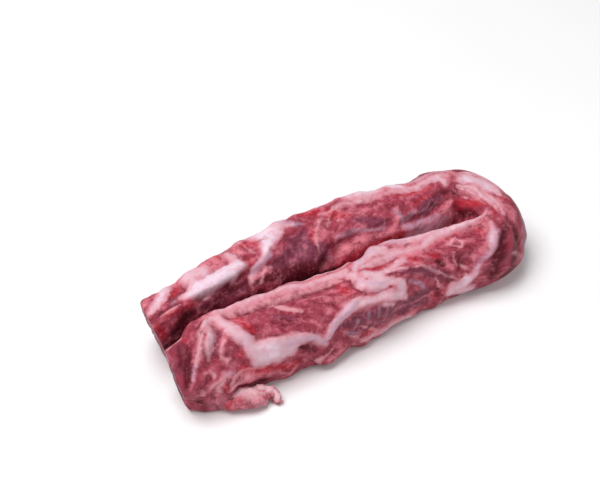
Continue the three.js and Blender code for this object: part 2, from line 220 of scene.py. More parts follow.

# Where each tissue shows. A stroke is a line through (at, turn, half width in mm), or (at, turn) where it
# has no width of its own. Below 0 the width makes a weak stroke. The points were picked in the
# photo. For many rows a helper script worked out their places on the strip and wrote out the row.
strokes = {
    "fat": [
        # front limb
        # thin folds behind the cut corner
        [(12.5, 103, 0.5), (11.4, 82, 0.7), (10.2, 68, 0.6), (8.7, 54, 0.4)],
        [(13.4, -8, 0.1), (12.6, 3, 0.3), (14.6, 11, 0.2)],
        [(16.4, 99, 1.1), (15.4, 82, 1.6), (14.3, 66, 1.5), (13.2, 56, 1)],
        [(14, 102, 0.8), (16.2, 104, 1.1), (20, 114, 1.2), (22.7, 114, 1.3)],
        # white arc
        [(21.5, 112, 1.7), (23.2, 100, 2.5), (24, 86, 2.9), (25, 72, 3), (26.5, 58, 3.1), (29, 46, 3.2)],
        [(31, 9, 2.2), (34, 5, 1.6)],
        [(29, 38, 3.2), (34, 33, 3.2), (40, 31, 3), (45, 28, 2.6)],  # large fat patch
        [(28, 28, 2.2), (31, 18, 4.4), (37, 18, 4.6), (43, 18, 3.8), (46, 22, 2.2)],
        [(38, 7, 1.8), (39, 1, 0.9)],
        [(43, 9, 1.6), (44, 3, 0.7)],
        [(22, 122, 1), (34, 124, 1.4), (48, 126, 1.5), (62, 123, 1.2), (80, 119, 1.4)],  # rim along the slot
        [(26, 137, 0.6), (44, 140, 0.9), (62, 138, 0.8), (84, 132, 1)],
        # tail of the large fat patch
        [(46, 29, 2.4), (51, 25, 2.1), (55, 17, 1.7), (58, 7, 1.3), (60, 0, 0.6)],
        [(60, 14, 1.6), (64, 26, 2.2), (68, 38, 2.6), (72, 47, 2.6), (77, 54, 1.8)],  # fat streak
        [(80, 110, 1.6), (82, 104, 2)],
        [(81, 104, 1.4), (82, 92, 2), (81.4, 80, 2.5), (84, 68, 3), (89, 58, 2.6)],  # upper fat patch
        # band under the fat patches
        [(74, 44, 2.2), (80, 44, 2.4), (86, 42, 2.4), (90, 36, 2.6), (95, 28, 2.6), (98, 15, 1.3)],
        [(76, -28, 0.6), (84, -34, 1.2), (92, -38, 1.7), (101, -42, 1.4)],
        [(86, 94, 2.4), (89, 84, 3.2), (87, 74, 3.6), (91, 62, 3), (95, 54, 1.8)],
        [(87, 28, 0.9), (91, 18, 0.5), (93, 11, 0.2)],
        [(84, 112, 1.4), (88, 118, 2.4), (94, 121, 2.4), (99, 116, 1.8)],  # knob on the slot edge
        [(95, 52, 2.4), (97, 42, 3), (97, 32, 2.8), (96, 24, 2)],
        [(92, 90, 1.2), (97, 82, 1.7), (101, 72, 0.9)],
        [(97, 22, 1), (99, 9, 0.4)],
        [(95, 91, 1.2), (100, 91, 1.5), (104, 93, 0.9)],
        [(84, 108, 0.8), (95, 108, 1.1), (106, 107, 1.4), (114, 105, 1.3), (122, 106, 1.6), (128, 106, 2)],
        # rim past the knob
        [(97, 130, 1.2), (104, 127, 2), (112, 122, 2.2), (120, 116, 2), (128, 112, 1.6)],
        [(122, -14, 3.6), (126, -24, 4.4), (129, -36, 4)],  # fat at the foot of the fold
        [(133, 16, 0.5), (130.5, 4, 1.4), (127, -4, 2), (121, -9, 1.6)],
        # lip that leads into the fold
        [(118, 108, 1.1), (124, 110, 1.2), (129, 108, 1.5), (134, 105, 1.6), (140, 106, 1.4),
         (146, 104, 1), (151, 100, 0.5)],
        # fold
        [(146, 84, 0.5), (144.5, 76, 0.9), (143, 66, 1.1), (141.5, 56, 1), (140, 46, 0.6),  # white streak
         (137.5, 34, 0.2)],
        [(160, 82, 1), (156, 77, 0.9), (152, 71, 0.4)],
        [(174, 96, 0.6), (169, 95, 1.8), (164, 92, 2), (158, 86, 1.4), (154, 80, 0.5)],  # fat cap
        [(173, 86, 1.4), (171, 76, 2.3), (167, 76, 2.8), (164, 70, 2.4), (161, 66, 1.4)],
        [(172, 66, 1), (168, 60, 1.6), (164, 58, 1.4)],
        [(174, 100, 0.3), (168, 103, 0.8), (162, 101, 0.6)],
        [(169.6, 116, 0.7)],
        [(182, 81, 0.9), (180, 86, 1.3), (180, 95, 0.7)],
        # back limb
        # rim of the back limb
        [(206, 79, 0.4), (198, 79, 1.2), (190, 80, 1.4), (183, 81, 1.2), (178, 79, 0.5)],
        [(197, 74, 1.6), (200, 66, 3.2), (203, 58, 2.4)],
        [(208, 66, 3.2), (214, 67, 3.4), (221, 64, 3.2)],
        [(236, 78), (224, 78, 0.5), (208, 80, 0.6)],
        [(252, 76, 1), (248, 82, 0.4)],
        # white fat across the back limb
        [(266, 62, 2), (262, 70, 3.4), (258, 78, 3.4), (254, 72, 3), (252, 64, 2.4)],
        [(266, 100, 1.8), (263, 100, 3.4), (259, 92, 3.4), (257, 82, 3.2)],
        [(271, 119, 1.2), (267, 111, 2), (265, 102, 2.2)],
        [(271, 121, 1.2), (275, 123, 0.9), (277, 131, 0.7), (278, 138, 0.4)],  # tail of the white fat
        [(279, 88, 1.8), (279, 76, 1.6)],
        [(280, 106, 2.6), (280, 96, 2.6)],
        [(283, 116, 1.3), (285, 122, 0.6)],
        # second white fat
        [(279, 108, 2.2), (284, 104, 4.4), (290, 107, 4.3), (297, 103, 5.1), (303, 98, 2.6)],
        [(294, 117, 1.6), (297, 123, 0.7)],
        [(293, 80, 2.6), (298, 70, 3.4)],
        [(299, 104, 3), (299, 90, 3), (298, 82, 2)],
        [(316, 98, 1.8), (312, 83, 3), (308, 66, 2.8)],  # pink end
    ],
    "white": [
        # front limb
        [(16.2, 87, 0.4), (15.3, 72, 0.4)],
        [(31, 17, 0.8), (38, 17, 0.8)],
        [(32, 32, 1), (38, 26, 1.2)],
        [(129, 2, 0.8), (124, -6, 0.8)],
        [(131, 108, 0.4), (139, 107, 0.2)],
        # fold
        [(144, 68, 0.1), (141, 56)],
        [(164, 76, 0.8)],
        [(171, 82, 1), (169, 86, 0.8)],
        [(181, 83, 0.5)],
        # back limb
        [(201, 152), (195, 154, 0.5), (189, 153, 0.1)],
        [(200, 64, 2.4), (202, 58, 2)],
        [(210, 66, 0.8), (218, 66, 0.8)],
        [(262, 66, 2.4), (260, 78, 3.4), (261, 90, 3.2), (264, 102, 2.2), (268, 114, 1.2)],
        [(282, 104, 4.2), (290, 104, 4.8), (298, 102, 4.8)],
        [(313, 85, 0.6), (309, 68, 0.6)],
    ],
    "pale": [
        # front limb
        [(0.4, 126, 0.2), (3, 128, 0.4), (7, 127, 0.4)],
        [(6.8, 10, 0.4), (7, -6, 0.4)],
        [(14.2, 94, 0.3), (12.3, 92, 0.4), (10.2, 73, 0.5), (8.7, 58, 0.6), (7, 44, 0.6), (4.6, 30, 0.2)],
        [(9.4, 31, 0.2), (10.4, 30, 0.3), (11.1, 23, 0.3)],
        [(10, 7, 0.4), (12, 13, 0.6), (15.5, 16, 0.3)],
        [(13.2, 57, 0.6), (12.1, 42, 0.2)],
        [(13.6, -10, 0.3), (12.6, 2, 0.5), (14.8, 11, 0.4)],
        [(20.2, 64, 0.3), (18.1, 55, 0.4), (17, 44, 0.4), (17.2, 37, 0.4), (18.3, 32, 0.4),
         (19.8, 33, 0.2)],
        [(16.4, -10, 0.3), (18.3, -6, 0.4), (21.2, -8, 0.4), (24.2, -7, 0.3)],
        [(17, 1, 0.3), (19.5, 6, 0.5), (25, 6, 0.4), (31, 0, 0.3)],
        [(44, 112, 0.6), (46, 101, 0.9), (50, 88, 1.1), (54, 74, 0.7)],
        [(22, 118, 0.5), (34, 116, 0.3), (48, 116, 0.3), (62, 114, 0.4), (78, 114, 0.4)],
        [(45, 113, 0.3), (48, 99, 0.6), (50.5, 86, 0.6), (53.5, 74, 0.2)],
        [(36, 116, 0.2), (50, 115, 0.4), (62, 113, 0.4), (76, 110, 0.3)],
        [(56, -36, 0.4), (54.5, -26, 0.5), (57, -19, 0.5), (62, -14, 0.3)],
        [(70, -4, 0.2), (74, -20, 0.3)],
        [(76, 4, 0.1), (80, -12, 0.3), (84, -28, 0.3)],
        [(104, 66, 0.2), (108, 58, 0.4), (111, 47, 0.5), (117, 26, 0.5), (123, 6, 0.5)],
        [(113, 20, 0.2), (116, 3, 0.3)],
        [(125, 58, 0.3), (124, 46, 0.4), (125.5, 27, 0.4)],
        [(125, 81, 0.3), (129, 91, 0.4), (131, 75, 0.4), (129, 62, 0.4), (126, 72, 0.3), (125, 80, 0.3)],
        [(128, 21, 0.4), (131, 13, 0.4), (134, 20, 0.3)],
        # fold
        [(145, 18, 0.1), (147, 5, 0.3), (149, -10, 0.2)],
        [(165, 84, 0.3), (160, 81, 0.4), (155, 86, 0.2)],
        [(166, 93, 0.3), (161, 89, 0.4), (156, 89, 0.4)],
        # back limb
        [(200, 79, 0.4), (194, 80, 0.4), (189, 80, 0.4), (184, 80, 0.3)],
        [(227, 84), (230, 100, 0.1)],
        [(231, 78, 0.1), (236, 102, 0.2), (238, 112)],
        [(236, 86, 0.2), (240, 106, 0.5), (244, 122, 0.4), (246, 136, 0.1)],
        [(268, 134, 0.3), (270, 131, 0.4), (273, 136, 0.4), (274, 146, 0.3)],
        [(271.4, 56, 0.1), (271.4, 84, 0.3), (271.2, 104, 0.2)],
        [(314, 118, 0.1), (310, 116, 0.3), (307, 116)],
    ],
    "pink": [
        # front limb
        [(0.5, 120, 0.2), (0.7, 98, 0.2), (0.7, 70, 0.2)],
        [(8.3, 81, 0.2), (5.3, 44, 0.3), (2.8, 19, 0.3)],
        [(6.8, 0, 0.7)],
        [(13.6, 88, 0.9), (11.9, 67, 0.9), (10.2, 53, 0.7)],
        [(12.1, -19, 0.9), (12.8, -1, 0.7), (14.5, 4, 0.5)],
        [(9.8, 12, 0.5), (12.1, 14, 0.7), (15.1, 18, 0.9), (17, 14, 1.1), (19.8, 12, 0.7)],
        [(14.5, -21, 1.8), (18.9, -40, 1.3)],
        [(18, 106, 1.6), (20.6, 96, 1.4)],
        [(14.2, 119, 1.3), (17.6, 117, 1.8), (22.1, 120, 1.8), (25.9, 118, 1.6)],
        [(21.2, 103, 1), (20.6, 80, 1.1), (19.8, 65, 0.7)],
        [(15, 14, 1.2), (20, 4, 1.8), (26, -6, 2.2), (33, -14, 2.2)],
        [(22, 104, 2), (23.5, 84, 2.4), (25, 64, 2.4)],
        [(22, -8, 0.8), (30, -16, 0.8)],
        [(35, 60, 0.2), (32, 52, 1)],
        [(40, -28, 0.8), (47, -36, 1.4)],
        [(28, 112, 0.2), (40, 110, 0.4), (52, 108, 0.4), (62, 104, 0.6)],
        [(28, 130, 2.4), (50, 130, 2.8), (78, 127, 2.2)],  # side of the rim that faces the slot
        [(18, 124, 1.4), (45, 122, 1.8), (70, 122, 1.6), (84, 119, 1.4)],
        [(58, 36, 0.6), (55.8, 48, 0.5)],
        [(55, 106, 0.4), (60, 108, 0.8)],
        [(60, 46, 0.4), (64, 56, 0.8)],
        [(60, -26, 1), (66, -24, 0.6)],
        [(61, 96, 1.2), (65, 84, 1.2), (66, 70, 0.6)],
        [(69, 100, 0.8), (71.6, 97, 0.6)],
        [(76, 62, 1), (80, 60, 0.8)],
        [(78, -30, 1.6), (90, -34, 2.2), (102, -38, 2.4)],
        [(94, 88, 2.4), (100, 90, 2.4), (105, 88, 1.6)],
        [(92, -2, 1.2), (104, -8, 1.6), (112, -6, 1)],
        [(105, 92, 0.8), (106, 76, 0.8), (108, 62, 0.4)],
        [(98, 116, 0.6), (108, 114, 1.2), (118, 112, 1)],
        [(111, 96, 0.8), (112, 80, 0.8), (113, 66, 0.4)],
        [(116, -24, 1.4), (117, -40, 1.8)],
        [(120, 84, 0.6), (121, 66, 0.8), (120, 40, 0.8), (122, 26, 1)],
        [(104, 100, 2.2), (114, 98, 1.8), (122, 100, 1), (132, 100, 2), (144, 96, 2.6), (152, 92, 2)],
        [(123, 84, 0.9), (127, 88, 1.5), (130, 72, 1.6), (135, 72, 1.1)],
        [(129, 48, 0.4), (133, 34, 1.2), (131, 21, 0.6)],
        [(120, 104, 1.2), (130, 102, 2.2), (139, 101, 2.2), (146, 98, 1.8), (152, 93, 1.4)],
        # fold
        [(145, 87, 1.1), (142, 80, 0.9)],
        [(152, 22, 0.6), (151, 7, 0.6)],
        [(158, 76, 2), (155, 68, 2), (153, 56, 1.8)],
        [(168, 92, 1.6), (162, 88, 2.2), (156, 80, 1.8)],
        [(175, 88, 0.9), (168, 98, 2), (162, 88, 2), (158, 80, 1.4)],
        [(177, 108, 0.8), (171, 112, 1.8), (164, 110, 2.2), (156, 102, 1.4)],
        [(178, 52, 1.6), (170, 46, 2.4), (163, 46, 2)],
        [(187, 146, 1.6), (182, 140, 1.5), (178, 134, 1)],
        # back limb
        [(173, 76, 1), (178, 68, 2.4), (188, 66, 3.2), (194, 66, 3.2)],
        [(196, 74, 1.3), (189, 70, 1.5), (184, 74, 1.3), (178, 78, 1.2), (175, 70, 0.9)],
        [(204, 150, 2), (196, 156, 3), (188, 158, 3), (182, 154, 2.4), (177, 162, 2)],
        [(196, 168, 3), (184, 170, 3)],
        [(204, 160, 1.8), (196, 164, 2.6), (188, 166, 2.2)],
        [(186, 66, 3.4), (206, 66, 4.2), (222, 64, 3.6)],
        [(204, 108, 1), (206, 126, 1.2), (208, 138, 0.8)],
        # painted highlight along the crest of the roll in the slot
        [(204, 145, 0.9), (214, 144, 1.1), (226, 143, 1.1), (236, 147, 0.8)],
        [(236, 90, 0.4), (224, 92, 1), (210, 94, 0.8)],
        [(226, 60, 3), (238, 56, 3.4), (245, 60, 2.4)],
        [(236, 98, 0.4), (240, 112, 0.6), (244, 126, 0.4)],
        [(265, 92, 1.2), (266, 74, 1.8)],
        [(267, 97, 1.3), (267, 70, 2.2), (269, 52, 1.3)],
        [(266, 140, 0.1), (270, 138, 0.6), (272, 150, 0.4)],
        [(275, 86, 1.6), (275, 70, 1.8)],
        [(276, 134, 1.2), (278, 146, 0.5)],
        [(279, 149, 0.4)],
        [(266, 54, 3.4), (280, 54, 4.8), (292, 58, 3.8)],
        [(282, 138, 0.3)],
        [(285, 40, 2.6), (286, 70, 2.6), (282, 74, 1.8)],
        [(285.5, 146, 0.3)],
        [(281, 74, 2.4), (287, 84, 1.6), (292, 74, 2.4)],
        [(290, 141, 0.3)],
        [(294, 133, 0.3)],
        [(298, 128, 0.2)],
        [(294, 80, 3.2), (300, 68, 3.6), (303, 62, 2.4)],
        [(302, 128, 0.2)],
        [(309, 102, 0.9), (304, 105, 1.3)],
        [(314, 141, 0.3), (314, 158, 0.3)],
        [(316, 88, 1.4), (317, 70, 1.4)],
        [(317, 104, 1), (316, 86, 1.6), (317, 68, 1.2)],
        [(318, 64, 0.6), (316, 75, 1.1), (317, 97, 0.9)],
    ],
    "bright": [
        # front limb
        [(2.4, 112, 0.4), (2.2, 92, 0.8)],
        [(7.6, 120, 0.2), (7.8, 108, 0.2)],
        [(14.9, 6, 0.9), (15.3, -3, 0.7)],
        [(24, 32, 1.6)],
        [(21.9, 12, 1.3), (26.8, 0, 1.3)],
        [(28, 108, 1.4), (28.5, 92, 2.2), (30, 76, 2.6), (32, 60, 1.6)],
        [(30, -4, 2), (38, -12, 2.2), (48, -20, 1.6)],
        [(47, 147, 0.2), (56, 145, 0.5), (61, 143, 0.1)],
        [(74, 104, 1.2), (74, 90, 2.2), (74.5, 74, 1.8)],
        [(81, -26, 1.8), (78, -10, 0.8)],
        [(85, 101, 1.2), (91, 101, 1.2), (98, 99, 0.8)],
        [(107, 94, 0.8)],
        [(107, 92, 1), (107.5, 80, 1.4), (108, 72, 0.6)],
        [(113, -12, 0.7), (116, -9, 0.5)],
        [(114, -10, 1.8), (115, -26, 1.6)],
        [(114, 80, 1.2), (117, 62, 1.6), (116, 74, 1.4)],
        [(118, 100, 0.6), (126, 98, 0.8), (132, 94, 0.6)],
        [(136, 40, 0.6)],
        # fold
        [(140, 88, 0.8), (141, 78, 1)],
        [(144, 36, 0.9), (143, 31, 0.7)],
        [(149, 5, 0.7)],
        [(152, 84, 1), (156, 92, 0.8)],
        [(159, 64, 0.6), (158, 55, 0.5)],
        [(172, 150, 2.2), (164, 144, 2.4), (157, 132, 1.6)],
        [(175, 138, 1.4), (168, 132, 2.6), (161, 120, 2.6), (155, 104, 1.2)],  # red wall inside the fold
        # back limb
        [(190, 106, 0.8), (196, 112, 0.8)],
        [(187, 90, 1.2), (196, 88, 1.2), (202, 84, 0.6)],
        # roll in the slot
        [(205, 151, 1.6), (214, 156, 2), (226, 158, 2.4), (236, 160, 2.4), (239, 170, 2)],
        [(225, 98, 1), (230, 86, 2.2), (234, 76, 2.2), (242, 68, 2.4)],
        [(242, 108, 1), (246, 122, 1.4)],
        [(271, 74, 1.4), (268, 80, 1.4), (268, 94, 0.9)],
        [(275, 104, 1), (275, 113, 1)],
        [(275, 64, 0.6), (276, 54, 1)],
        [(285, 60, 1), (284, 70, 1.1)],
        [(305, 77, 1.2), (308, 90, 0.7), (303, 75, 0.8)],
        [(309, 122, 0.9), (312, 122, 0.7), (304, 124, 1)],
        [(317, 134, 1.1), (316, 151, 1.3)],
        [(318, 72, 0.4)],
    ],
    "deep": [
        # front limb
        # these first strokes lie on the face that the knife left: its dark meat, with painted shade along
        # the valley beside its ridge
        [(2, 122, -0.2), (1.4, 88, -0.2), (0.8, 49, -0.2)],
        [(4.8, 116, 0.6), (3.8, 92, 1.1), (2.8, 68, 0.9)],
        [(5.2, 122, -0.2), (3.8, 88, -0.2), (2.4, 52, -0.2)],
        [(5.6, 112), (4.8, 84, 0.4), (3.4, 58, 0.4)],
        [(7.4, 100, 1), (5.6, 68, 1.8), (3.8, 40, 1.8), (1.8, 24, 0.8)],
        [(4, -10, 1.1), (5.1, -28, 1.3), (6.6, -39, 0.9)],
        [(6.4, 118, 0.2), (6.8, 100, 0.8), (6, 84, 0.6)],
        [(8.9, 26, 0.3), (8.3, 17, 0.3)],
        [(10.4, -4, 0.2), (9.6, -16, 0.3)],
        [(9.4, 22, 0.2), (11.6, 26, 0.4)],
        [(10.2, -24, 0.7), (11.7, -27, 0.4)],
        # painted shade where the front limb faces the slot
        [(2, 158, 3.6), (14, 160, 4), (28, 166, 3)],
        [(20, 47, 1), (18.9, 38, 0.6)],
        [(20.4, -14, 0.3), (24.2, -20, 0.4), (28.5, -27, 0.6), (33, -38, 1)],
        [(43.7, 60, 0.5), (46.3, 51, 0.5)],
        [(43, 76, 0.2), (47, 62, 0.5), (49, 50, 0.2)],
        [(47, 14, 1.2), (50, 10, 1.8), (53, 0, 1.4), (55, -6, 0.8)],
        [(51, 68, 0.4), (54, 58, 0.2)],
        [(49.3, 23, 0.6), (52.9, 10, 0.9), (55.6, 2, 0.6)],
        [(62, 76, 0.1), (66, 66, 0.4)],
        [(86, 4, 0.4), (90, -4, 0.6)],
        [(94, 72, 1.2), (93, 66, 1)],
        [(104, 102, 0.1), (112, 119, 0.6)],
        [(115, 0, 0.8), (114, -14, 0.8)],
        [(116, 54, 1.4), (118, 42, 1.2)],
        [(127, 50, 0.2), (126.6, 40, 0.5), (127.6, 26, 0.4)],
        # fold
        [(148, 60, 1.4), (144, 52, 1.8), (142, 34, 1.9), (140, 12, 1.6), (139, -10, 1.6)],
        [(150, 44, 1), (147, 18, 1.8), (145, 2, 1.6), (143, -20, 2)],
        [(151, 18, -0.2), (153, -4, 0.2), (152, -22, 0.4)],
        # painted shade down the inside wall of the fold
        [(170, 156, 2.4), (164, 148, 2.6), (157, 138, 2.4), (151, 126, 1.4)],
        [(172, 148, 0.3), (166, 141, 0.6), (160, 131, 0.2)],
        [(174, 50, 0.4), (174, 58, 0.5)],
        [(175, 90, 0.6), (174, 109, 0.6)],
        [(178, 107, 1), (175, 116, 0.8)],
        # back limb
        # on the back limb these lie on the side that faces the slot and paint its shade, partly over dark
        # meat
        [(208, 168, 1.2), (222, 174, 1.8), (236, 176, 1.6)],
        [(250, 166, 3.2), (264, 162, 3.2)],
        [(244, 152, 1.6), (256, 152, 2.2), (268, 146, 2.2), (276, 142, 1.6)],
        [(283, 134, 1.2), (292, 136, 1.4)],
        [(276, 160, 2.2), (290, 162, 2.4), (302, 152, 2.4)],
        [(279, 132, 1), (288, 138, 1.2), (296, 134, 1.2), (302, 138, 1.2)],
        [(290, 176, 3.4), (304, 178, 4.2), (317, 180, 4)],
        [(295, 150, 2), (304, 157, 2.8), (312, 157, 2.6)],
        [(304, 142, 2), (309, 146, 2)],
        [(306, 134, 1.6), (309, 146, 1.6)],
    ],
    # creases sink the skin, and their strokes also darken its colour: painted shade in the creases
    "crease": [
        # front limb
        [(14.2, 91), (12.3, 67), (11.7, 52)],
        [(18.5, 94), (16.2, 67), (14.2, 50)],
        [(20, -14), (24.2, -20), (29.1, -29), (35, -40)],
        [(26, 112), (36, 111), (50, 111), (62, 109), (74, 106)],
        [(46, 15), (50, 10), (54, -4)],
        [(57, -40), (53.5, -28), (55, -20)],
        [(78.6, 92), (79.4, 78), (81, 60)],
        [(92, 106), (100, 103)],
        [(127, 56), (127, 44), (128, 24)],
        # fold
        [(148, 76), (145.6, 60), (143, 46), (139.6, 30)],
        [(150.6, 56), (148, 30), (147, 2)],
        [(164.6, 84), (164, 70), (165, 58)],
        [(172, 98), (172, 78), (173, 60)],
        [(176, 124), (180, 112), (184, 105), (187, 113)],
        # back limb
        [(198, 140), (201, 130)],
        [(210, 126), (218, 130), (226, 134), (234, 140), (239, 147), (241, 157)],
        [(248, 92), (255, 101), (262, 112), (268, 122)],
        [(277, 118), (276.6, 104), (277, 92)],
        [(286.5, 126), (286, 142), (286.5, 154)],
        [(279, 122), (286, 122.5), (296, 122), (302, 119)],
        [(298, 128), (299, 144)],
        [(304, 94), (302, 80), (300, 73)],
        [(314, 113), (311, 112), (307, 113)],
    ],
    "ridge": [
        # front limb
        [(14.2, 94), (12.3, 92), (10.2, 73), (8.7, 58), (7, 44), (4.6, 28)],
        [(15.9, 97), (15.4, 84), (14.6, 70), (13, 55)],
        [(12, 16), (15, 18), (19.8, 12)],
        [(12, -10), (15, -6), (21, -8), (27, -12)],
        [(55, -34), (55, -24), (60, -15)],
        [(108, 59), (111, 47), (117, 26), (123, 6)],
        [(125, 81), (129, 91), (131, 75), (129, 62)],
        # fold
        [(166, 93), (161, 89), (156, 89)],
        # back limb
        [(178, 79), (196, 78)],
        [(186, 136), (192, 132), (197, 126)],
        [(204, 146), (222, 145), (236, 149)],
        [(228, 84), (232, 104)],
        [(236, 84), (240, 106), (245, 130)],
    ],
    "purple": [
        # front limb
        [(1.6, 124, 0.5), (0.8, 88, 0.5), (0.4, 49, 0.4)],
        [(3.4, 124, 0.5), (2.4, 88, 0.5), (1.2, 49, 0.4)],
        [(5.2, 124, 0.5), (4, 88, 0.5), (2.2, 49, 0.4)],
        [(7.9, -34, 1.3), (9.8, -45, 1.1)],
        [(19.1, 98, 0.9), (18.1, 77, 1.1), (15.5, 51, 0.8)],
        [(24, 50, 0.8), (26, 44, 0.8)],
        [(42, 82, 1.2), (48, 68, 1.4)],
        [(47.8, 58, 0.8), (51.6, 59, 0.6)],
        # purple hollow
        [(68, 18, 1.8), (76, 20, 3.2), (86, 14, 3.2), (92, 2, 2.8), (100, 0, 3.2), (108, 2, 3)],
        [(72, -4, 2), (82, -8, 2.2), (98, -16, 2.8), (108, -18, 2.4)],
        [(96, 74, 1), (103, 60, 1.9), (109, 48, 2), (115, 32, 1.9), (120, 16, 1.4)],
        [(102, 69, 0.8), (107, 46, 1), (114, 22, 1.1), (120, 4, 0.7)],
        [(128, 78, 1), (128, 72, 0.8)],
        # fold
        [(146, 62, 1.6), (143, 44, 1.6), (141, 22, 1.6), (139, 2, 1.4)],
        [(156, 30, 1.6), (153, 6, 2), (151, -18, 1.6)],  # dark outer meat of the fold
        # back limb
        [(194, 126, 2.6), (188, 121, 2.6), (183, 113, 1.6)],
        [(213, 128, 2), (217, 120, 3.2), (222, 110, 2.6)],
        [(246, 88, 1.6), (249, 80, 1.2)],
        # large muscle
        [(244, 140, 4), (256, 132, 5), (264, 142, 5), (252, 150, 4), (248, 108, 2.4), (254, 114, 3)],
        [(282, 138, 3.2), (298, 136, 3.2)],
        [(308, 100, 0.8), (304, 98, 0.6)],
    ],
    "film": [
        # front limb
        [(7.5, 50, 0.5), (6.4, 41, 0.7), (5.1, 33, 0.5)],
        [(15.1, 19, 0.6), (17, 14, 0.8), (19.8, 12, 0.4)],
        [(44, 26, 1.4), (52, 22, 1.2), (57, 10, 1.2), (60, 2, 0.9)],
        [(60, 14, 1.8), (65, 28, 2.4), (70, 44, 2.2), (73, 51, 1.4)],  # over the fat streak
        [(70, 2, 0.6), (74, -8, 0.6)],
        [(75, 19, 0.6), (74, 2, 0.2)],
        [(80, 26, 0.5), (78.8, 1, 0.2)],
        [(84.7, 28, 0.5), (83.4, 6, 0.2)],
        [(82, 84, 0.6), (84, 70, 1), (88, 66, 1)],
        [(89, 24, 0.4), (88, 7, 0.2)],
        [(84, 112, 1), (88, 120, 1.6), (96, 122, 1)],
        [(98, 128, 0.6), (104, 124, 1), (110, 118, 0.6)],
        [(103, 38, 0.8), (106, 27, 1.2), (108, 12, 0.5)],
        [(130, 5, 0.6), (125, -5, 0.6)],
        # over the white streak
        [(145, 74, 0.9), (143, 62, 1.5), (141, 50, 1.2), (138, 38, 1.7), (135, 26, 1.1), (133, 17, 1)],
        # back limb
        [(178, 68, 1.6), (190, 66, 1.6)],
        [(190, 162, 1.8), (184, 160, 1.4)],
        [(196, 136, 0.2), (190, 130, 0.2), (186, 120, 0.1)],
        [(198, 128, 0.2), (193, 128, 0.2), (190, 120, 0.1)],
        [(203, 158, 1.8), (196, 161, 2.6), (188, 165, 2)],
        [(204, 143, 1.4), (196, 148, 2.4), (189, 150, 2)],
        [(198, 124, 0.8), (204, 134, 1.2), (206, 112, 1)],
        [(214, 136, 0.4), (226, 128, 0.8), (234, 130, 0.8)],
        [(253, 66, 0.8), (250, 75, 1.5), (247, 84, 0.9), (244, 89, 0.4)],
        [(257, 90, 0.6), (261, 104, 0.9)],
        # lilac film along the white fat's lower edge: painted bluish shade on the fat
        [(266, 117, 1.4), (271, 121, 1.6), (276, 127, 1.2)],
        [(309, 106, 0.7), (307, 101, 0.5)],
    ],
    "calm": [
        # front limb
        # face that the knife left
        [(4.9, 123, 3.2), (3, 88, 4), (1.5, 49, 3.2), (0.4, 26, 2.2), (0, -10, 1.2)],
        [(32, 28, 4), (42, 24, 3)],
        [(84, 78, 5), (88, 66, 5)],
        # fold
        [(148, 44, 2.6), (144, 14, 2.6)],
        [(154, 24, 5), (152, 0, 5), (150, -24, 5)],  # outer side of the fold
        [(157, 110, 3), (163, 126, 4), (170, 140, 4)],
        [(172, 106, 2.4), (165, 100, 2.8), (158, 94, 2)],
        # back limb
        [(194, 156, 3), (188, 158, 2.4)],
        [(254, 74, 7), (262, 100, 5)],
        [(282, 104, 5), (298, 104, 5)],
    ],
}
# How far a stroke fades out at its edge, in mm, for the tissues that have no definite edge
softEdge = {"white": 1.6, "pink": 1.5, "bright": 1.5, "deep": 1.1, "purple": 1.8, "film": 0.9, "calm": 1.4}

# The strokes stray by a slow and a fine noise: mm across each noise, and mm that it shifts them
stray = {"slowSize": 6.0, "slow": 0.8, "fineSize": 2.2, "fine": 0.3}
steadyKinds = ("crease", "ridge", "pale", "calm")  # these have only the slow one

# The part of the skin that strokes cover, between two edges through (at, turn)
shown = {
    "below": [(0, -78), (14, -62), (30, -50), (120, -46), (134, -42), (146, -22), (153, 20), (161, 50),
              (180, 54), (200, 50), (318, 50)],
    "above": [(0, 136), (30, 144), (70, 142), (100, 132), (122, 118), (144, 111), (151, 140), (162, 164),
              (176, 178), (200, 166), (216, 172), (236, 178), (246, 180), (270, 174), (286, 162), (301, 152),
              (318, 166)],
    "fade": 14,  # degrees over which it ends
}

# Beyond it noise spreads the tissues. Fat and pale lines lie along the fibres: mm along and across them,
# seed, noise at which they start, mm of depth for each unit above it, and mm that they fall back where
# the strokes are
unseenDepths = {
    "fat": (26, 12, 31, 0.42, 9, 12),
    "pale": (16, 3.4, 35, 0.5, 3, 9),
}
# The others: mm along the strip and round it, seed, gain, start
unseenShares = {
    "pink": (12, 8, 57, 1.6, 0.1),
    "bright": (11, 11, 41, 2.2, -0.2),
    "deep": (9, 9, 45, 2.0, -0.4),
    "purple": (17, 17, 49, 2.0, -0.1),
    "film": (14, 9, 53, 2.2, -0.5),
}
noDepth = -6.0  # depth of fat and pale lines where there are none
tissueKinds = ("fat", "white", "pale", "pink", "bright", "deep", "crease", "purple", "film", "calm")

seeds = {"strayAlong": 11, "strayRound": 21, "lumps": 61, "bundles": 65, "grains": 69, "bends": 75,
         "frontCut": 71, "backCut": 83, "flap": 91, "nextFlap": 30}


def smooth(value):
    value = np.clip(value, 0, 1)
    return value * value * (3 - 2 * value)


def turnBetween(turn, other):
    return (turn - other + 180) % 360 - 180


def bridge(t, start, end, startSlope, endSlope):  # curve between two values, t from 0 to 1
    fromStart = (2 * t**3 - 3 * t**2 + 1) * start + (t**3 - 2 * t**2 + t) * startSlope
    fromEnd = (3 * t**2 - 2 * t**3) * end + (t**3 - t**2) * endSlope
    return fromStart + fromEnd


# Value noise on a lattice, -1 to 1, with layers of half the size and half the strength

# Large odd factors that mix a lattice place and a seed
lattice = {
    "x": 374761393,
    "y": 668265263,
    "z": 1103515245,
    "seed": 974711,
    "stir": 1274126177,
    "bits": 0xFFFFFFFF,
}


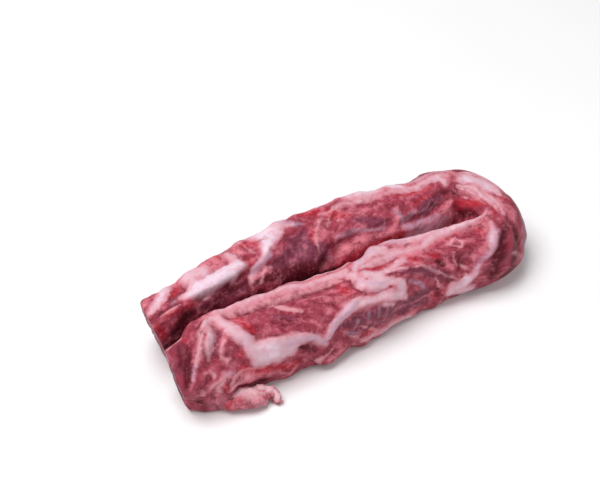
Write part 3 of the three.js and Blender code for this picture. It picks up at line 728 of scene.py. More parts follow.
def latticeValue(x, y, z, seed):
    mixed = x * lattice["x"] + y * lattice["y"] + z * lattice["z"] + seed * lattice["seed"]
    mixed = mixed & lattice["bits"]
    mixed = ((mixed ^ (mixed >> 13)) * lattice["stir"]) & lattice["bits"]
    return (mixed ^ (mixed >> 16)) / (lattice["bits"] // 2) - 1


def noise(x, y, z, seed):
    spot = np.broadcast_arrays(x, y, z)
    cell = [np.floor(part).astype(np.int64) for part in spot]
    inCell = [part - low for part, low in zip(spot, cell)]
    fade = [part**3 * (part * (part * 6 - 15) + 10) for part in inCell]
    total = 0
    for corner in range(8):
        step = (corner & 1, corner >> 1 & 1, corner >> 2)
        weight = 1
        for share, side in zip(fade, step):
            weight = weight * (share if side else 1 - share)
        total = total + weight * latticeValue(*[low + side for low, side in zip(cell, step)], seed)
    return total


def layeredNoise(x, y, z, seed, layers=3):
    total = 0
    for layer in range(layers):
        scale = 2**layer
        total = total + noise(x * scale, y * scale, z * scale, seed + layer) / scale
    return total


# Places on the skin

def sectionValue(at, column):
    places = np.array([row[0] for row in sections], float)
    values = np.array([row[column] for row in sections], float)
    at = np.clip(at, places[0], places[-1])
    last = len(places) - 1
    i = np.clip(np.searchsorted(places, at, side="right") - 1, 0, last - 1)
    before = np.maximum(np.arange(last + 1) - 1, 0)
    after = np.minimum(np.arange(last + 1) + 1, last)
    slope = (values[after] - values[before]) / (places[after] - places[before])
    width = places[i + 1] - places[i]
    t = (at - places[i]) / width
    return bridge(t, values[i], values[i + 1], width * slope[i], width * slope[i + 1])


def middleLine(at):
    front, back, radius = plan["frontLimb"], plan["backLimb"], plan["foldRadius"]
    sinceFold = at - front
    left = stripLength - at
    frontBow = plan["frontBow"] * np.sin(math.pi * np.maximum(at, 0) / front) ** 2
    backBow = plan["backBow"] * np.sin(math.pi * np.maximum(left, 0) / back) ** 2
    angle = sinceFold / radius - math.pi / 2
    x = plan["foldX"] + radius * np.cos(angle)
    y = radius * np.sin(angle)
    x = np.where(sinceFold < 0, plan["foldX"] + sinceFold, x)
    y = np.where(sinceFold < 0, -radius - frontBow, y)
    x = np.where(sinceFold > foldRun, plan["foldX"] - (sinceFold - foldRun), x)
    y = np.where(sinceFold > foldRun, radius + backBow, y)
    return x, y


def roundPlace(turn, share=1.0):  # place in a round section that has as many mm for each degree
    radius = share * 180 * plan["mmPerDegree"] / math.pi
    return radius * np.cos(np.radians(turn)), radius * np.sin(np.radians(turn))


def halfWidth(point):
    return point[2] if len(point) == 3 else 0


def strokeDepth(at, turn, stroke):  # mm inside the stroke's edge, below 0 outside
    deepest = np.full(np.broadcast(at, turn).shape, -np.inf)
    for start, end in zip(stroke, stroke[1:] or stroke):
        alongBy = end[0] - start[0]
        roundBy = turnBetween(end[1], start[1]) * plan["mmPerDegree"]
        x = at - start[0]
        y = turnBetween(turn, start[1]) * plan["mmPerDegree"]
        length = alongBy**2 + roundBy**2
        share = np.clip((x * alongBy + y * roundBy) / (length or 1), 0, 1)
        half = halfWidth(start) + (halfWidth(end) - halfWidth(start)) * share
        deepest = np.maximum(deepest, half - np.hypot(x - share * alongBy, y - share * roundBy))
    return deepest


def padRise(at, turn):
    total = 0
    for place, facing, alongBy, roundBy, rise, firm in pads:
        reach = ((at - place) / alongBy) ** 2 + (turnBetween(turn, facing) / roundBy) ** 2
        total = total + rise * np.exp(-(reach**2 if firm else reach))
    return total


def seamRise(at, turn):
    total = 0
    for points, wide, rise in seams:
        total = total + rise * np.exp(-((strokeDepth(at, turn, points) / wide) ** 2))
    return total


# Soft unevenness of the whole strip, from waves of growing pace
waves = {"count": 7, "rise": 0.55, "slowest": 0.0185, "step": 0.0085, "offset": 2.4, "drift": 0.6}


def waveRise(at, turn):
    angle = np.radians(turn)
    total = 0
    for k in range(1, waves["count"] + 1):
        wave = fullTurn * at * (waves["slowest"] + waves["step"] * (k - 1)) + waves["offset"] * k
        swing = np.sin(wave + (k % 3 + 1) * angle) * np.cos(waves["drift"] * wave + k - (k % 4 + 1) * angle)
        total = total + waves["rise"] / math.sqrt(k) * swing
    return total


# Fibres run slantwise, the other way on each limb, and turn over in the fold

fibres = {
    "front": -45,  # degrees between the fibres and each limb
    "back": 40,
    "turnFrom": 110,  # where they start to turn over, and over how many mm
    "turnRun": 95,
    "middleTurn": 75,  # degrees round the section where the count across them starts
    "margin": 30,  # mm past both ends
    "samples": 2000,
}


def fibrePlace(at, turn):
    front, back = math.radians(fibres["front"]), math.radians(fibres["back"])

    def slant(place):
        return front + (back - front) * smooth((place - fibres["turnFrom"]) / fibres["turnRun"])

    samples = np.linspace(-fibres["margin"], stripLength + fibres["margin"], fibres["samples"])
    step = samples[1] - samples[0]
    runAlong = np.cumsum(np.cos(slant(samples))) * step
    runAcross = np.cumsum(np.sin(slant(samples))) * step
    girth = (turn - fibres["middleTurn"]) * plan["mmPerDegree"]
    u = girth * np.sin(slant(at)) + np.interp(at, samples, runAlong)
    v = girth * np.cos(slant(at)) - np.interp(at, samples, runAcross)
    return u, v


def strayed(at, y, z, seed):  # mm of shift at each place, the slow part and the whole
    slow, fine = stray["slowSize"], stray["fineSize"]
    slowPart = stray["slow"] * noise(at / slow, y / slow, z / slow, seed)
    return slowPart, slowPart + stray["fine"] * noise(at / fine, y / fine, z / fine, seed + 1)


# Tissues at each place: fat and pale are mm inside their edge, the rest are shares from 0 to 1

def tissuesAt(at, turn):
    y, z = roundPlace(turn)
    slowAlong, wholeAlong = strayed(at, y, z, seeds["strayAlong"])
    slowRound, wholeRound = strayed(at, y, z, seeds["strayRound"])
    steady = (at + slowAlong, turn + slowRound / plan["mmPerDegree"])
    loose = (at + wholeAlong, turn + wholeRound / plan["mmPerDegree"])
    found = {}
    for kind, lines in strokes.items():
        spot = steady if kind in steadyKinds else loose
        found[kind] = np.max([strokeDepth(*spot, line) for line in lines], axis=0)
    found["fat"] = found["fat"] + relief["fatSpread"]
    for kind in ("crease", "ridge"):
        found[kind] = np.exp(-((found[kind] / relief[kind + "Wide"]) ** 2))
    for kind, soft in softEdge.items():
        found[kind] = smooth((found[kind] + soft) / (2 * soft))

    # where the photograph shows nothing
    below = np.interp(at, *zip(*shown["below"]))
    above = np.interp(at, *zip(*shown["above"]))
    fromMiddle = np.abs(turnBetween(turn, (below + above) / 2))
    hidden = smooth((fromMiddle - (above - below) / 2) / shown["fade"])
    u, v = fibrePlace(at, turn)
    for kind, (long, wide, seed, start, deep, back) in unseenDepths.items():
        spots = layeredNoise(u / long, v / wide, 0 * u, seed)
        depth = np.maximum(found[kind], deep * (spots - start) - back * (1 - hidden))
        found[kind] = np.maximum(depth, noDepth)
    for kind, (long, wide, seed, gain, start) in unseenShares.items():
        spots = smooth(gain * layeredNoise(at / long, y / wide, z / wide, seed) + start)
        found[kind] = np.maximum(found[kind], hidden * spots)
    return found


# On the inside of the fold the skin is squeezed together, and its relief dies down: mm along and
# degrees round that this reaches, and the share that it takes off
squeezed = {"along": 22, "round": 75, "lumps": 0.6, "grains": 0.9}


def fineRise(at, turn, tissue):
    y, z = roundPlace(turn)
    u, v = fibrePlace(at, turn)
    size = relief["lumpSize"]
    lumps = relief["lumpRise"] * layeredNoise(at / size, y / size, z / size, seeds["lumps"])
    size = relief["grainSize"]
    grains = relief["grainRise"] * noise(at / size, y / size, z / size, seeds["grains"])
    size = relief["bendSize"]
    bent = v + relief["bend"] * noise(at / size, y / size, z / size, seeds["bends"])
    bundle = np.abs(noise(u / relief["bundleLong"], bent / relief["bundleWide"], 0 * u, seeds["bundles"]))
    muscle = relief["bundleRise"] * (smooth(relief["bundleSwell"] * bundle) - 0.5)
    fromSeam = turnBetween(turn, fineness["seamTurn"]) / fineness["seamBlend"]
    muscle = muscle * (1 - np.exp(-(fromSeam**2)))

    # the inside of the fold stays smooth
    foldMiddle = plan["frontLimb"] + foldRun / 2
    away = ((at - foldMiddle) / squeezed["along"]) ** 4 + (turnBetween(turn, 180) / squeezed["round"]) ** 4
    inside = np.exp(-away)
    lumps = lumps * (1 - squeezed["lumps"] * inside)
    grains = grains * (1 - squeezed["grains"] * inside)
    muscle = muscle * (1 - inside)

    inFat = smooth((tissue["fat"] - relief["swellFrom"]) / relief["fatRun"])
    fatEdge = np.exp(-(((tissue["fat"] - relief["fatEdgeAt"]) / relief["fatEdgeWide"]) ** 2))
    raised = relief["fatRise"] * inFat - relief["fatEdge"] * fatEdge
    raised = raised + relief["paleRise"] * smooth((tissue["pale"] - relief["swellFrom"]) / relief["paleRun"])
    raised = raised + relief["ridgeRise"] * tissue["ridge"]
    sunk = relief["creaseDeep"] * tissue["crease"] + relief["deepSink"] * tissue["deep"]
    uneven = lumps + grains * (1 - relief["calmFat"] * inFat) + muscle * (1 - relief["plainFat"] * inFat)
    return uneven + raised - sunk


def skin(at, turn, tissue):  # points of the strip's skin in mm
    c, s = np.cos(np.radians(turn)), np.sin(np.radians(turn))
    outer, inner, high, lean, square = (sectionValue(at, column) for column in range(1, 6))
    reach = (np.abs(c) ** square + np.abs(s) ** square) ** (-1 / square)
    half = np.where(c > 0, outer, inner)
    rise = padRise(at, turn) + seamRise(at, turn) + waveRise(at, turn) + fineRise(at, turn, tissue)
    fromEnd = np.clip(np.minimum(at, stripLength - at) / plan["endRound"], 0, 1)
    rounding = plan["endFace"] + (1 - plan["endFace"]) * np.sqrt(1 - (1 - fromEnd) ** 2)
    outward = (half * reach + rise) * c * rounding
    upward = (high / 2 * reach + rise) * s * rounding
    outward = outward + lean * upward / high

    # the cuts at both ends lean, and the lean fades out along the strip
    front = np.maximum(0, 1 - at / plan["cutRun"]) ** plan["cutFade"]
    back = np.maximum(0, 1 - (stripLength - at) / plan["cutRun"]) ** plan["cutFade"]
    raised = upward - plan["settle"]
    shift = front * (plan["frontCut"][0] * outward + plan["frontCut"][1] * raised)
    shift = shift - back * (plan["backCut"][0] * outward + plan["backCut"][1] * raised)

    x, y = middleLine(at)
    x0, y0 = middleLine(at - plan["lookAhead"])
    x1, y1 = middleLine(at + plan["lookAhead"])
    length = np.hypot(x1 - x0, y1 - y0)
    aheadX, aheadY = (x1 - x0) / length, (y1 - y0) / length
    return np.stack([
        x + aheadY * outward + aheadX * shift,
        y - aheadX * outward + aheadY * shift,
        np.maximum(0, raised + high / 2),
    ], axis=-1)


# The knife took the upper corner off the front end, and left a smooth face from the cut's edge to a ridge

cutCorner = {
    "ridge": [(-40, 0.2), (-10, 0.8), (15, 2.4), (40, 5), (65, 7.4), (90, 9.2), (120, 11), (140, 10),
              (165, 4), (190, 0.2)],  # (turn, at)
    "valley": 0.76,  # its deepest line, as a share of the way to the ridge
    "valleyDeep": 1.5,
    "valleyFrom": 6,  # mm from the end; the valley is shallower where the ridge is nearer
    "evened": 4,  # columns on each side over which both edges are evened out
}

columnTurns = np.concatenate([
    np.arange(fineness["seamTurn"] - 360, fineness["seenFrom"], fineness["underStep"]),
    np.arange(fineness["seenFrom"], fineness["seenTo"], fineness["seenStep"]),
    np.arange(fineness["seenTo"], fineness["seamTurn"], fineness["underStep"]),
])


def evenedRow(row):
    near = range(-cutCorner["evened"], cutCorner["evened"] + 1)
    return sum(np.roll(row, step, axis=0) for step in near) / len(near)


def takeCornerOff(rings, places):
    ridge = np.interp(columnTurns, *zip(*cutCorner["ridge"]))[None]
    crest = skin(ridge, columnTurns[None], tissuesAt(ridge, columnTurns[None]))[0]
    edge, crest = evenedRow(rings[0]), evenedRow(crest)
    share = np.clip(places[:, None] / ridge, 0, 1)
    dip = np.minimum(share / cutCorner["valley"], (1 - share) / (1 - cutCorner["valley"]))
    dip = cutCorner["valleyDeep"] * smooth(dip) * np.clip(ridge / cutCorner["valleyFrom"], 0, 1)
    flat = edge + (crest - edge) * share[..., None]
    core = flat.mean(axis=1, keepdims=True)
    inward = (core - flat) / np.linalg.norm(core - flat, axis=-1, keepdims=True)
    flat = flat + inward * dip[..., None]
    return np.where((share < 1)[..., None], flat, rings)


# Closed mesh of rings of points, with a point at both ends, and its tissues as attributes

def ringsObject(name, rings, firstPoint, lastPoint, tissue, grain, wrap):
    rows, count = rings.shape[:2]
    points = np.concatenate([rings.reshape(-1, 3), [firstPoint, lastPoint]])
    j = np.arange(count)
    k = (j + 1) % count
    low = np.arange(rows - 1)[:, None] * count
    quads = np.stack([low + j, low + count + j, low + count + k, low + k], axis=-1).reshape(-1, 4)
    first, last, lastRing = rows * count, rows * count + 1, (rows - 1) * count
    firstFan = np.stack([np.full(count, first), j, k], axis=-1)
    lastFan = np.stack([np.full(count, last), lastRing + k, lastRing + j], axis=-1)
    mesh = bpy.data.meshes.new(name)
    mesh.from_pydata((points * mm).tolist(), [], quads.tolist() + firstFan.tolist() + lastFan.tolist())
    mesh.shade_smooth()
    for kind in tissueKinds:
        values = tissue[kind]
        values = np.concatenate([values.reshape(-1), [values[0].mean(), values[-1].mean()]])
        mesh.attributes.new(kind, "FLOAT", "POINT").data.foreach_set("value", values.astype(np.float32))

    # grain coordinates, in mm along and across the fibres; the last column ends one turn further
    ends = [grain[0].mean(axis=0), grain[-1].mean(axis=0)]
    corners = np.concatenate([quads.reshape(-1), firstFan.reshape(-1), lastFan.reshape(-1)])
    uv = np.concatenate([grain.reshape(-1, 2), ends])[corners]
    turned = np.zeros(len(corners), bool)
    turned[: quads.size].reshape(-1, count, 4)[:, count - 1, 2:] = True
    rowOf = np.minimum(corners // count, rows - 1)
    uv[turned] += wrap[rowOf[turned]]
    layer = mesh.uv_layers.new(name="grain")
    layer.data.foreach_set("uv", uv.astype(np.float32).reshape(-1))
    thing = bpy.data.objects.new(name, mesh)
    bpy.context.scene.collection.objects.link(thing)
    return thing


# Smaller rings that close a cut end, with cut muscle on them

cutEnd = {
    "bumpSize": 3.4,
    "bump": 0.28,
    "bumpRun": 4,  # how soon the bumps reach their height on the way in from the edge
    "fat": 2.4,  # mm of depth for each unit of noise above the level
    "fatLevel": 0.8,
    "line": 0.1,  # half width of the pale lines, and how fast they end
    "lineEnd": 4,
    "pink": 0.6,
    "rim": 0.5,  # pink rim under the skin
    "rimFrom": 0.82,
    "rimRun": 0.15,
    "deep": 0.6,
}


def cutTissues(y, z, share, seed):
    def spots(size, step, gain=1.0, start=0.0, layers=3):
        return start + gain * layeredNoise(y / size, z / size, 0 * y, seed + step, layers)

    # the spots take mm across, step of the seed, gain and start
    found = {kind: 0 * y for kind in tissueKinds}
    found["fat"] = np.maximum(noDepth, cutEnd["fat"] * (spots(3.8, 1) - cutEnd["fatLevel"]))
    found["pale"] = np.maximum(noDepth, cutEnd["line"] - cutEnd["lineEnd"] * np.abs(spots(5, 2, layers=2)))
    rim = smooth((share - cutEnd["rimFrom"]) / cutEnd["rimRun"])
    found["pink"] = cutEnd["pink"] * smooth(spots(5, 6)) + cutEnd["rim"] * rim
    found["bright"] = smooth(spots(5, 3, 1.2, 0.2))
    found["deep"] = cutEnd["deep"] * smooth(spots(6, 4, 0.9, 0.45))
    found["purple"] = smooth(spots(7, 5, 1.0, 0.4))
    return found


def cutFace(ring, seed):
    centre = ring.mean(axis=0)
    rings, tissue, grain = [], [], []
    for i in range(1, fineness["capRings"]):
        share = 1 - i / fineness["capRings"]
        y, z = roundPlace(columnTurns, share * plan["endFace"])
        bumps = layeredNoise(y / cutEnd["bumpSize"], z / cutEnd["bumpSize"], 0 * y + seed, seed)
        bumps = cutEnd["bump"] * bumps * min(1, cutEnd["bumpRun"] * (1 - share))
        spot = centre + (ring - centre) * share
        spot[:, 0] -= plan["endDome"] * math.sqrt(1 - share**2) + bumps
        spot[:, 2] = np.maximum(0, spot[:, 2])
        rings.append(spot)
        tissue.append(cutTissues(y, z, share, seed))
        grain.append(np.stack([y, z], axis=-1))
    tip = centre - np.array([plan["endDome"], 0, 0])
    return rings, tissue, grain, tip


def stripObject():
    endSteps = np.arange(fineness["endRows"]) / fineness["endRows"]
    endRows = plan["endRound"] * (1 - np.cos(math.pi / 2 * endSteps))
    middleRows = np.linspace(plan["endRound"], stripLength - plan["endRound"], fineness["along"] + 1)
    places = np.concatenate([endRows, middleRows, stripLength - endRows[::-1]])
    at, turn = np.meshgrid(places, columnTurns, indexing="ij")
    tissue = tissuesAt(at, turn)
    rings = takeCornerOff(skin(at, turn, tissue), places)
    u, v = fibrePlace(at, turn)
    grain = np.stack([u, v], axis=-1)
    overU, overV = fibrePlace(places, columnTurns[0] + 360 + 0 * places)
    wrap = np.stack([overU, overV], axis=-1) - grain[:, 0]

    frontRings, frontTissue, frontGrain, frontTip = cutFace(rings[0], seeds["frontCut"])
    backRings, backTissue, backGrain, backTip = cutFace(rings[-1], seeds["backCut"])
    rings = np.concatenate([frontRings[::-1], rings, backRings])
    grain = np.concatenate([frontGrain[::-1], grain, backGrain])
    none = np.zeros((len(frontRings), 2))
    wrap = np.concatenate([none, wrap, none])
    for kind in tissueKinds:
        front = [ring[kind] for ring in frontTissue[::-1]]
        back = [ring[kind] for ring in backTissue]
        tissue[kind] = np.concatenate([front, tissue[kind], back])
    thing = ringsObject("rib_finger_meat", rings, frontTip, backTip, tissue, grain, wrap)

    # the cut faces have the second material
    count, caps = len(columnTurns), fineness["capRings"] - 1
    rows = len(rings)
    rowOf = np.repeat(np.arange(rows - 1), count)
    cut = (rowOf < caps) | (rowOf >= rows - 1 - caps)
    cut = np.concatenate([cut, np.ones(2 * count, bool)])
    thing.data.polygons.foreach_set("material_index", cut.astype(np.int32))
    return thing


def alongPath(values, t):  # smooth curve through evenly spaced values, t from 0 to 1
    values = np.asarray(values, float)
    last = len(values) - 1
    place = np.clip(t, 0, 1) * last
    i = np.minimum(place.astype(int), last - 1)
    before, after = np.maximum(i - 1, 0), np.minimum(i + 2, last)
    startSlope, endSlope = (values[i + 1] - values[before]) / 2, (values[after] - values[i]) / 2
    return bridge(place - i, values[i], values[i + 1], startSlope, endSlope)


# The loose flap by the front cut end: a strap, its curled tip and a thin shred.
# Each has a path in mm and half sizes at the places along it.
flapPieces = {
    "loose_strap": {
        "path": [(-68, -15, 7), (-62.8, -20.6, 5.6), (-58.5, -24.2, 4.9), (-54, -26.2, 4.2),
                 (-50, -27, 3.7), (-47.2, -28.3, 3.1)],
        "halfWide": (3, 4.6, 5, 4.6, 4, 2.6),
        "halfHigh": (3.4, 4.8, 4.6, 4, 3.3, 2.2),
        "rough": 0.75,
    },
    "curled_tip": {
        "path": [(-51.5, -25.4, 5.6), (-48, -26.7, 5.2), (-45.7, -28.6, 4.3), (-45.1, -30.4, 3.1),
                 (-46.3, -31.3, 1.9)],
        "halfWide": (2.0, 2.3, 2.3, 2.1, 1.5),
        "halfHigh": (2.0, 2.3, 2.3, 2.1, 1.4),
        "rough": 0.6,
    },
    "thin_shred": {
        "path": [(-45.6, -31, 1.8), (-44.8, -31.4, 1.5), (-44.1, -31.7, 1.3), (-43.5, -32, 1.2),
                 (-42.9, -32.2, 1.3)],
        "halfWide": (0.6, 0.5, 0.42, 0.36, 0.3),
        "halfHigh": (0.6, 0.5, 0.42, 0.36, 0.3),
        "rough": 0.08,
    },
}
flapMesh = {
    "round": 0.12,  # share of the length that the round tips take
    "floor": 0.3,  # lowest point above the table
    "steps": 64,
    "around": 48,
    "length": 26.0,  # mm along and across, for the noises
    "radius": 5.0,
    "rippleSize": 4.0,
    "fineSize": 1.7,
    "fineShare": 0.3,
    "lookAhead": 0.01,
}

# Its tissues: the upper and the outer side as (degrees that it faces, degrees wide), then mm of
# depth of the fat on each, of its blotches and everywhere, half width and end of the pale lines, and shares
flapTissue = {
    "sides": ((100, 56), (0, 44)),
    "fatUpper": 2.6,
    "fatOuter": -0.5,
    "fatBlotch": 1.1,
    "fatStart": -1.1,
    "line": 0.3,
    "lineEnd": 4.5,
    "white": 0.2,
    "pinkStart": 1.1,
    "bright": 0.9,
    "deep": 0.5,
    "purple": 0.4,
    "film": 0.3,
    "filmStart": 0.3,
}

def flapTissues(x, y, z, facing, seed):
    def spots(long, wide, step, gain=1.0, start=0.0, layers=2):
        return start + gain * layeredNoise(x / long, y / wide, z / wide, seed + step, layers)

    # the spots take mm along and round, step of the seed, gain and start
    look = flapTissue
    blotch = spots(4.5, 4.5, 8, layers=3)
    upper, outer = (np.exp(-((turnBetween(facing, turn) / wide) ** 2)) for turn, wide in look["sides"])
    found = {kind: 0 * x for kind in tissueKinds}
    fat = look["fatUpper"] * upper + look["fatOuter"] * outer + look["fatBlotch"] * blotch + look["fatStart"]
    found["fat"] = np.maximum(noDepth, fat)
    found["pale"] = np.maximum(noDepth, look["line"] - look["lineEnd"] * np.abs(spots(6, 4, 12)))
    found["white"] = look["white"] * upper
    found["pink"] = smooth(blotch + look["pinkStart"])
    found["bright"] = look["bright"] * outer * smooth(spots(3.4, 3.4, 16, 1.8, 0.3))
    found["deep"] = look["deep"] * outer * smooth(spots(3, 3, 20, 1.8, -0.3))
    found["purple"] = look["purple"] * smooth(blotch)
    found["film"] = look["film"] * smooth(blotch + look["filmStart"])
    return found


def flapObject(name, shape, seed):
    steps = np.arange(1, flapMesh["steps"])
    t = (1 - np.cos(math.pi * steps / flapMesh["steps"])) / 2
    angles = fullTurn * np.arange(flapMesh["around"]) / flapMesh["around"]
    t, angle = np.meshgrid(t, angles, indexing="ij")
    path = [[point[axis] for point in shape["path"]] for axis in range(3)]
    centre = [alongPath(values, t) for values in path]
    ahead = [alongPath(values, t + flapMesh["lookAhead"]) - alongPath(values, t - flapMesh["lookAhead"])
             for values in path[:2]]
    length = np.hypot(*ahead)
    edge = np.minimum(1, np.minimum(t, 1 - t) / flapMesh["round"])
    rounding = np.sqrt(1 - (1 - edge) ** 2)
    radius = flapMesh["radius"]
    x, y, z = flapMesh["length"] * t, radius * np.cos(angle), radius * np.sin(angle)

    size, fine = flapMesh["rippleSize"], flapMesh["fineSize"]
    ripple = layeredNoise(x / size, y / size, z / size, seed)
    ripple = ripple + flapMesh["fineShare"] * noise(x / fine, y / fine, z / fine, seed + 4)
    wide = (alongPath(shape["halfWide"], t) + shape["rough"] * ripple) * rounding
    high = (alongPath(shape["halfHigh"], t) + shape["rough"] * ripple) * rounding
    out = wide * np.cos(angle)
    rings = np.stack([
        centre[0] + ahead[1] / length * out,
        centre[1] - ahead[0] / length * out,
        np.maximum(flapMesh["floor"], centre[2] + high * np.sin(angle)),
    ], axis=-1)
    tissue = flapTissues(x, y, z, np.degrees(angle), seed)
    grain = np.stack([x, radius * angle], axis=-1)
    wrap = np.zeros((len(steps), 2)) + [0, radius * fullTurn]
    piece = ringsObject(name, rings, shape["path"][0], shape["path"][-1], tissue, grain, wrap)
    piece.data.polygons.foreach_set("material_index", np.full(len(piece.data.polygons), 2, np.int32))
    return piece


# Shader node groups

def newGroup(name, inputs, outputs):
    tree = bpy.data.node_groups.new(name, "ShaderNodeTree")
    for label, kind, start in inputs:
        socket = tree.interface.new_socket(label, in_out="INPUT", socket_type=kind)
        if start is not None:
            socket.default_value = start
    for label, kind in outputs:
        tree.interface.new_socket(label, in_out="OUTPUT", socket_type=kind)
    start, end = tree.nodes.new("NodeGroupInput"), tree.nodes.new("NodeGroupOutput")
    return tree, start.outputs, end.inputs


def setInput(tree, socket, value):
    if isinstance(value, bpy.types.NodeSocket):
        tree.links.new(value, socket)
    else:
        socket.default_value = value


def addNode(tree, kind, inputs=None, **settings):
    node = tree.nodes.new(kind)
    for name, value in settings.items():
        setattr(node, name, value)
    for name, value in (inputs or {}).items():
        setInput(tree, node.inputs[name], value)
    return node


def calculate(tree, operation, a, b):
    return addNode(tree, "ShaderNodeMath", {0: a, 1: b}, operation=operation).outputs[0]


def times(tree, a, b):
    return calculate(tree, "MULTIPLY", a, b)


def plus(tree, a, b):
    return calculate(tree, "ADD", a, b)


def minus(tree, a, b):
    return calculate(tree, "SUBTRACT", a, b)


def vectorMath(tree, operation, vector, other):
    inputs = {0: vector, ("Scale" if operation == "SCALE" else 1): other}
    return addNode(tree, "ShaderNodeVectorMath", inputs, operation=operation).outputs[0]


def ramp(tree, value, low, high, start=0.0, end=1.0):  # smooth step from start to end
    inputs = {"Value": value, "From Min": low, "From Max": high, "To Min": start, "To Max": end}
    return addNode(tree, "ShaderNodeMapRange", inputs, interpolation_type="SMOOTHSTEP").outputs["Result"]


def blendColor(tree, share, a, b):
    return addNode(tree, "ShaderNodeMix", {0: share, 6: a, 7: b}, data_type="RGBA").outputs[2]


def stretched(tree, vector, long, wide):  # grain coordinates measured in fibre lengths and widths
    inputs = {"Vector": vector, "Scale": (1 / long, 1 / wide, 1)}
    return addNode(tree, "ShaderNodeMapping", inputs).outputs["Vector"]


def noiseValue(tree, vector, scale, detail=3.0, roughness=0.6, dimensions="3D"):
    inputs = {"Vector": vector, "Scale": scale, "Detail": detail, "Roughness": roughness}
    return addNode(tree, "ShaderNodeTexNoise", inputs, noise_dimensions=dimensions).outputs["Fac"]


# Muscle: long streaks, bundles, thin pale lines between them and fine specks.
# Pairs are mm along and across the fibres, the rest is noise cells for each mm.

muscleTexture = {
    "wobble": 0.16,
    "cloud": 0.28,
    "broken": 0.3,
    "speck": 1.0,
    "streak": (2.6, 1.4),
    "bundle": (7, 3.6),
    "net": (9, 2.6),
    "lineWide": (0.01, 0.1),
    "brokenEdge": (0.48, 0.64),
}


def muscleGrainGroup():
    look = muscleTexture
    labels = ("Streak", "Bundle", "Cloud", "Lines", "Speck")
    inputs = [(label, "NodeSocketVector", None) for label in ("Grain", "Place")]
    inputs.append(("Waver", "NodeSocketFloat", 0.0))
    tree, take, give = newGroup("muscleGrain", inputs, [(label, "NodeSocketFloat") for label in labels])
    inputs = {"Vector": take["Grain"], "Scale": look["wobble"], "Detail": 2.0}
    wobble = addNode(tree, "ShaderNodeTexNoise", inputs, noise_dimensions="2D")
    centred = vectorMath(tree, "SUBTRACT", wobble.outputs["Color"], (0.5, 0.5, 0.5))
    waver = vectorMath(tree, "SCALE", centred, take["Waver"])
    moved = vectorMath(tree, "ADD", take["Grain"], waver)
    streak = noiseValue(tree, stretched(tree, moved, *look["streak"]), 1.0, 2.0, 0.5, "2D")
    bundle = noiseValue(tree, stretched(tree, moved, *look["bundle"]), 1.0, 2.0, 0.5, "2D")
    cloud = noiseValue(tree, take["Place"], look["cloud"])
    inputs = {"Vector": stretched(tree, moved, *look["net"]), "Scale": 1.0}
    net = addNode(tree, "ShaderNodeTexVoronoi", inputs, voronoi_dimensions="2D", feature="DISTANCE_TO_EDGE")
    broken = ramp(tree, noiseValue(tree, take["Place"], look["broken"], 2.0, 0.5), *look["brokenEdge"])
    lines = times(tree, ramp(tree, net.outputs["Distance"], *look["lineWide"], 1.0, 0.0), broken)
    speck = noiseValue(tree, take["Place"], look["speck"], 2.0, 0.55)
    for label, value in zip(labels, (streak, bundle, cloud, lines, speck)):
        tree.links.new(value, give[label])
    return tree


# Tone of the muscle: from dark maroon to fresh red, and purple where it has dried; painted shade in the
# slot, the cut face's valley and the creases darkens it towards dark red

muscleTones = {
    "bright": 0.8,  # how far each tone covers the ones under it
    "purple": 0.9,
    # deep is also painted shade in the slot, and crease is painted shade in the creases
    "deep": 0.95,
    "crease": 0.5,
    "mixed": {"Streak": 0.14, "Bundle": 0.2, "Cloud": 0.56, "Speck": 0.1},
    "dark": (0.38, 0.51, 0.85, 0.0),  # from, to, and the shares there
    "pink": (0.49, 0.63, 0.0, 0.9),
    "speck": (0.54, 0.72, 0.0, 0.2),
    "rosy": (0.75, 1.2, 0.45, 0.95),
    "purpleCover": 0.7,  # where deep and purple meat keep the pink away
    "cover": 0.55,
}


def muscleToneGroup():
    tones = muscleTones
    shares = ("Streak", "Bundle", "Cloud", "Speck", "Rosy", "Bright", "Deep", "Crease", "Purple", "Contrast")
    colors = ("Plain Red", "Fresh Red", "Dark Red", "Purple Red", "Pink")
    inputs = [(label, "NodeSocketFloat", 0.0) for label in shares]
    inputs += [(label, "NodeSocketColor", None) for label in colors]
    tree, take, give = newGroup("muscleTone", inputs, [("Color", "NodeSocketColor")])
    mottled = ramp(tree, plus(tree, take["Cloud"], take["Speck"]), *tones["rosy"])
    color = blendColor(tree, times(tree, take["Rosy"], mottled), take["Plain Red"], take["Pink"])
    color = blendColor(tree, times(tree, take["Bright"], tones["bright"]), color, take["Fresh Red"])
    color = blendColor(tree, times(tree, take["Purple"], tones["purple"]), color, take["Purple Red"])
    # deep share: dark meat, and painted shade in the slot
    color = blendColor(tree, times(tree, take["Deep"], tones["deep"]), color, take["Dark Red"])
    mixed = 0.0
    for label, share in tones["mixed"].items():
        mixed = plus(tree, mixed, times(tree, take[label], share))
    dark = times(tree, ramp(tree, mixed, *tones["dark"]), take["Contrast"])
    color = blendColor(tree, dark, color, take["Dark Red"])
    covered = calculate(tree, "MAXIMUM", take["Deep"], times(tree, take["Purple"], tones["purpleCover"]))
    uncovered = minus(tree, 1.0, times(tree, covered, tones["cover"]))
    pink = times(tree, ramp(tree, mixed, *tones["pink"]), take["Contrast"])
    color = blendColor(tree, times(tree, pink, uncovered), color, take["Pink"])
    speck = times(tree, ramp(tree, take["Speck"], *tones["speck"]), take["Contrast"])
    color = blendColor(tree, speck, color, take["Pink"])
    # painted shade in the creases
    color = blendColor(tree, times(tree, take["Crease"], tones["crease"]), color, take["Dark Red"])
    tree.links.new(color, give["Color"])
    return tree


# Fat: ragged at its edge, pink where it is thin, white where it is thick

